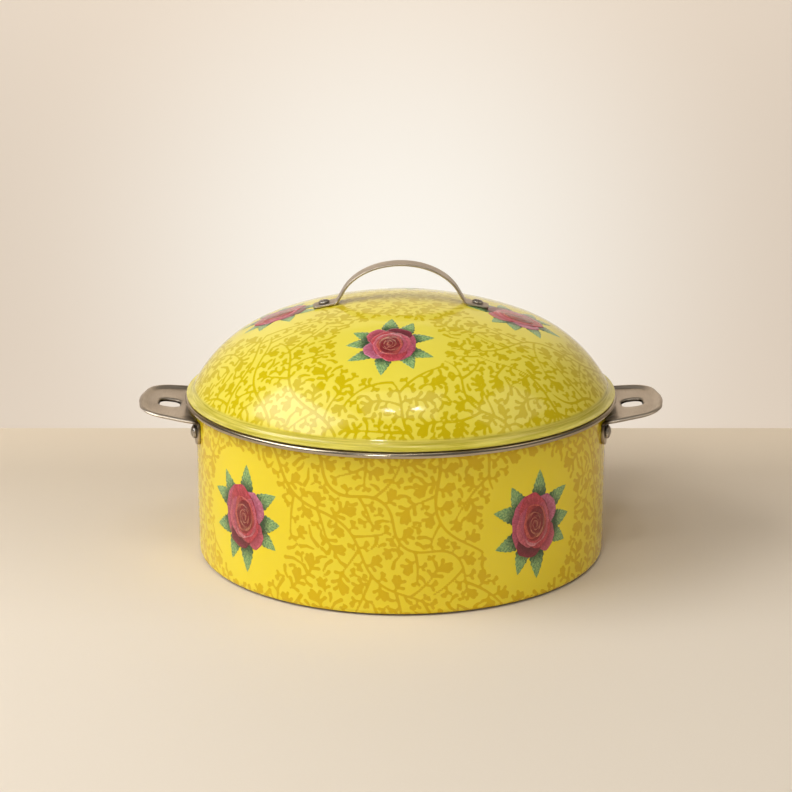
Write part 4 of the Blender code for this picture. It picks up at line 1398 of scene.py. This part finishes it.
def add_side_handle(name, mirrored, steel, node):
    """One pressed handle: its upper face as a sheet, given its thickness downwards and soft edges."""
    plan, triangles = plate_mesh()
    columns = flange_columns()
    rows = flange_rows(columns)
    faces = [tuple(int(i) for i in t) for t in triangles]
    index = len(plan) + np.arange(len(rows) * len(columns)).reshape(len(rows), len(columns))
    faces += grid_faces(index)
    points = np.vstack([np.column_stack([plan, plate_height(plan)])] + rows)
    grain = np.column_stack([points[:, 1], points[:, 0] + points[:, 2], points[:, 2] * 0]) / MM
    numbers = {"grain": grain, "painted_shade": handle_painted_shade(points)}
    if mirrored:
        points = points * (-1, -1, 1)
    handle = make_piece(name, points, faces, numbers, [steel])
    face_outwards(handle, weld=0.01 * MM)
    thicken = handle.modifiers.new("sheet", "SOLIDIFY")
    thicken.thickness = SHEET
    thicken.offset = -1.0
    soften = handle.modifiers.new("edges", "BEVEL")
    soften.width = EDGE_BEVEL
    soften.segments = 2
    soften.limit_method = "ANGLE"
    soften.angle_limit = math.radians(55)
    hand_over(handle, "pot", "steel", node)


# Rivets


def rivet_profile(head_radius, head_height, shank_radius, grip, tail_radius, tail_height):
    """A rivet along Z with its head's underside at 0 and its tail head below the grip."""
    brim = head_height * 0.3
    head = [
        (head_radius * math.sin(a) ** 0.9, brim + (head_height - brim) * math.cos(a))
        for a in np.radians(np.linspace(0, 90, 12))
    ]
    soft = 0.25 * head_radius * 0.3
    tail_bottom = -grip - tail_height
    return head + [
        (head_radius, soft),
        (head_radius - soft * 0.4, 0.0),
        (shank_radius, 0.0),
        (shank_radius, -grip),
        (tail_radius, -grip),
        (tail_radius, -grip - tail_height * 0.5),
        (tail_radius * 0.92, -grip - tail_height * 0.8),
        (tail_radius * 0.75, tail_bottom),
        (0.0, tail_bottom),
    ]


def add_rivet(name, shape, position, outward, body, node, steel, lean):
    """A domed rivet whose head is a little worn and uneven, `lean` setting how."""
    points, faces = turned_solid(rivet_profile(*shape), RIVET_STEPS)
    angle = np.arctan2(points[:, 1], points[:, 0])
    reach = np.hypot(points[:, 0], points[:, 1]) / shape[0]
    on_head = points[:, 2] > 0.05 * shape[1]
    uneven = 0.07 * (1 + np.sin(2 * angle + lean)) + 0.05 * (1 + np.sin(5 * angle - lean))
    points[:, 2] = np.where(on_head, points[:, 2] * (1 - uneven * reach), points[:, 2])
    rivet = make_piece(name, points, faces, (), [steel], sharp=42)
    rivet.location = position
    rivet.rotation_mode = "QUATERNION"
    rivet.rotation_quaternion = Vector(outward).to_track_quat("Z", "Y")
    hand_over(rivet, body, "rivet_steel", node)


def add_side_rivets(steel):
    for side, sign in (("right", 1), ("left", -1)):
        for end, way in (("rear", 1), ("front", -1)):
            angle = way * TAB_AZIMUTH if sign > 0 else math.pi - way * TAB_AZIMUTH
            outward = Vector((math.cos(angle), math.sin(angle), 0.0))
            position = outward * (BODY_RADIUS + SHEET + 2.2 * GAP) + Vector((0, 0, RIVET_HEIGHT))
            name = f"side_rivet_{side}_{end}"
            add_rivet("domed_" + name, SIDE_RIVET, position, outward, "pot", name, steel, 2 * way + sign)


def add_lid_rivets(steel):
    slope, x, z = over_crown(STRAP_THICKNESS + 2.4 * GAP)
    for side, sign in (("right", 1), ("left", -1)):
        outward = Vector((sign * math.sin(slope), 0.0, math.cos(slope)))
        position = Vector((sign * x, 0.0, z))
        name = "lid_rivet_" + side
        add_rivet("domed_" + name, LID_RIVET, position, outward, "lid", name, steel, 3.0 * sign)


# Stage, light and camera


def stage_plane(name, corners, roughness):
    """A plain matt sheet for the stage. Returns its finish."""
    mesh = bpy.data.meshes.new(name)
    mesh.from_pydata(corners, [], [tuple(range(len(corners)))])
    finish = Finish(name, Roughness=roughness, Specular_IOR_Level=0.15)
    mesh.materials.append(finish.material)
    put_in_scene(name, mesh)
    return finish


def add_table():
    wide = STAGE_HALF_WIDTH
    corners = [(-wide, TABLE_FRONT), (wide, TABLE_FRONT), (wide, TABLE_EDGE), (-wide, TABLE_EDGE)]
    finish = stage_plane("table", [(x, y, TABLE_TOP) for x, y in corners], 0.6)
    grain = finish.noise(finish.places(), 700.0, 3.0, 0.7)
    depth = finish.put("ShaderNodeSeparateXYZ", {0: finish.places()}).outputs["Y"]
    paper = finish.mix(grain, TABLE_COLOUR, TABLE_FLECK)
    # Painted shade: the table darker towards the back
    finish.drive("Base Color", finish.mix(finish.ranged(depth, -0.15, 0.26), paper, TABLE_FAR_SHADE))


def add_backdrop():
    wide, high = STAGE_HALF_WIDTH, BACKDROP_HALF_HEIGHT
    corners = [(-wide, -high), (wide, -high), (wide, high), (-wide, high)]
    finish = stage_plane("backdrop", [(x, BACKDROP_PLACE, z) for x, z in corners], 0.9)
    # Painted pool of light: the backdrop lighter round a spot low behind the pot
    glow = (0.0, BACKDROP_PLACE, GLOW_HEIGHT)
    away = finish.put("ShaderNodeVectorMath", {0: finish.places(), 1: glow}, operation="DISTANCE")
    share = finish.ranged(away.outputs["Value"], 0.0, GLOW_REACH, kind="SMOOTHSTEP")
    finish.drive("Base Color", finish.mix(share, BACKDROP_GLOW, BACKDROP_COLOUR))


def add_area_light(name, position, aim, size, watts, colour):
    light = bpy.data.lights.new(name, "AREA")
    light.shape = "RECTANGLE"
    light.size, light.size_y = size
    light.energy = watts
    light.color = colour
    lamp = put_in_scene(name, light)
    lamp.location = position
    lamp.rotation_mode = "QUATERNION"
    lamp.rotation_quaternion = (Vector(position) - Vector(aim)).to_track_quat("Z", "Y")


def add_world():
    world = bpy.data.worlds.new("studio")
    world.use_nodes = True
    background = world.node_tree.nodes["Background"]
    background.inputs["Color"].default_value = WORLD_COLOUR
    background.inputs["Strength"].default_value = WORLD_STRENGTH
    bpy.context.scene.world = world


def add_camera():
    lens = bpy.data.cameras.new("camera")
    lens.sensor_width = CAMERA_SENSOR
    lens.lens = CAMERA_LENS
    lens.shift_x = CAMERA_SHIFT
    camera = put_in_scene("camera", lens)
    camera.location = CAMERA_PLACE
    camera.rotation_euler = (CAMERA_TILT, 0.0, 0.0)
    bpy.context.scene.camera = camera


def build():
    bpy.context.scene.view_settings.view_transform = "Standard"
    add_camera()
    add_table()
    add_backdrop()
    for light in LIGHTS:
        add_area_light(*light)
    add_world()
    pot_enamel = printed_enamel("pot_enamel_print", POT_GROUND, POT_INK)
    lid_enamel = printed_enamel("lid_enamel_print", LID_GROUND, LID_INK)
    plate_steel = brushed_steel("brushed_steel", STEEL_LIGHT, STEEL_DARK, 0.36)
    band_steel = brushed_steel("band_steel", BAND_LIGHT, BAND_DARK, 0.16)
    rivets = rivet_steel()
    add_pot(wall_pattern(), pot_enamel)
    add_rim_band(band_steel)
    add_lid(dome_pattern(), lid_enamel)
    add_roses([petal_print(), leaf_print()])
    add_lid_strap(plate_steel)
    add_side_handle("right_side_handle", False, plate_steel, "side_handle_right")
    add_side_handle("left_side_handle", True, plate_steel, "side_handle_left")
    add_side_rivets(rivets)
    add_lid_rivets(rivets)


build()
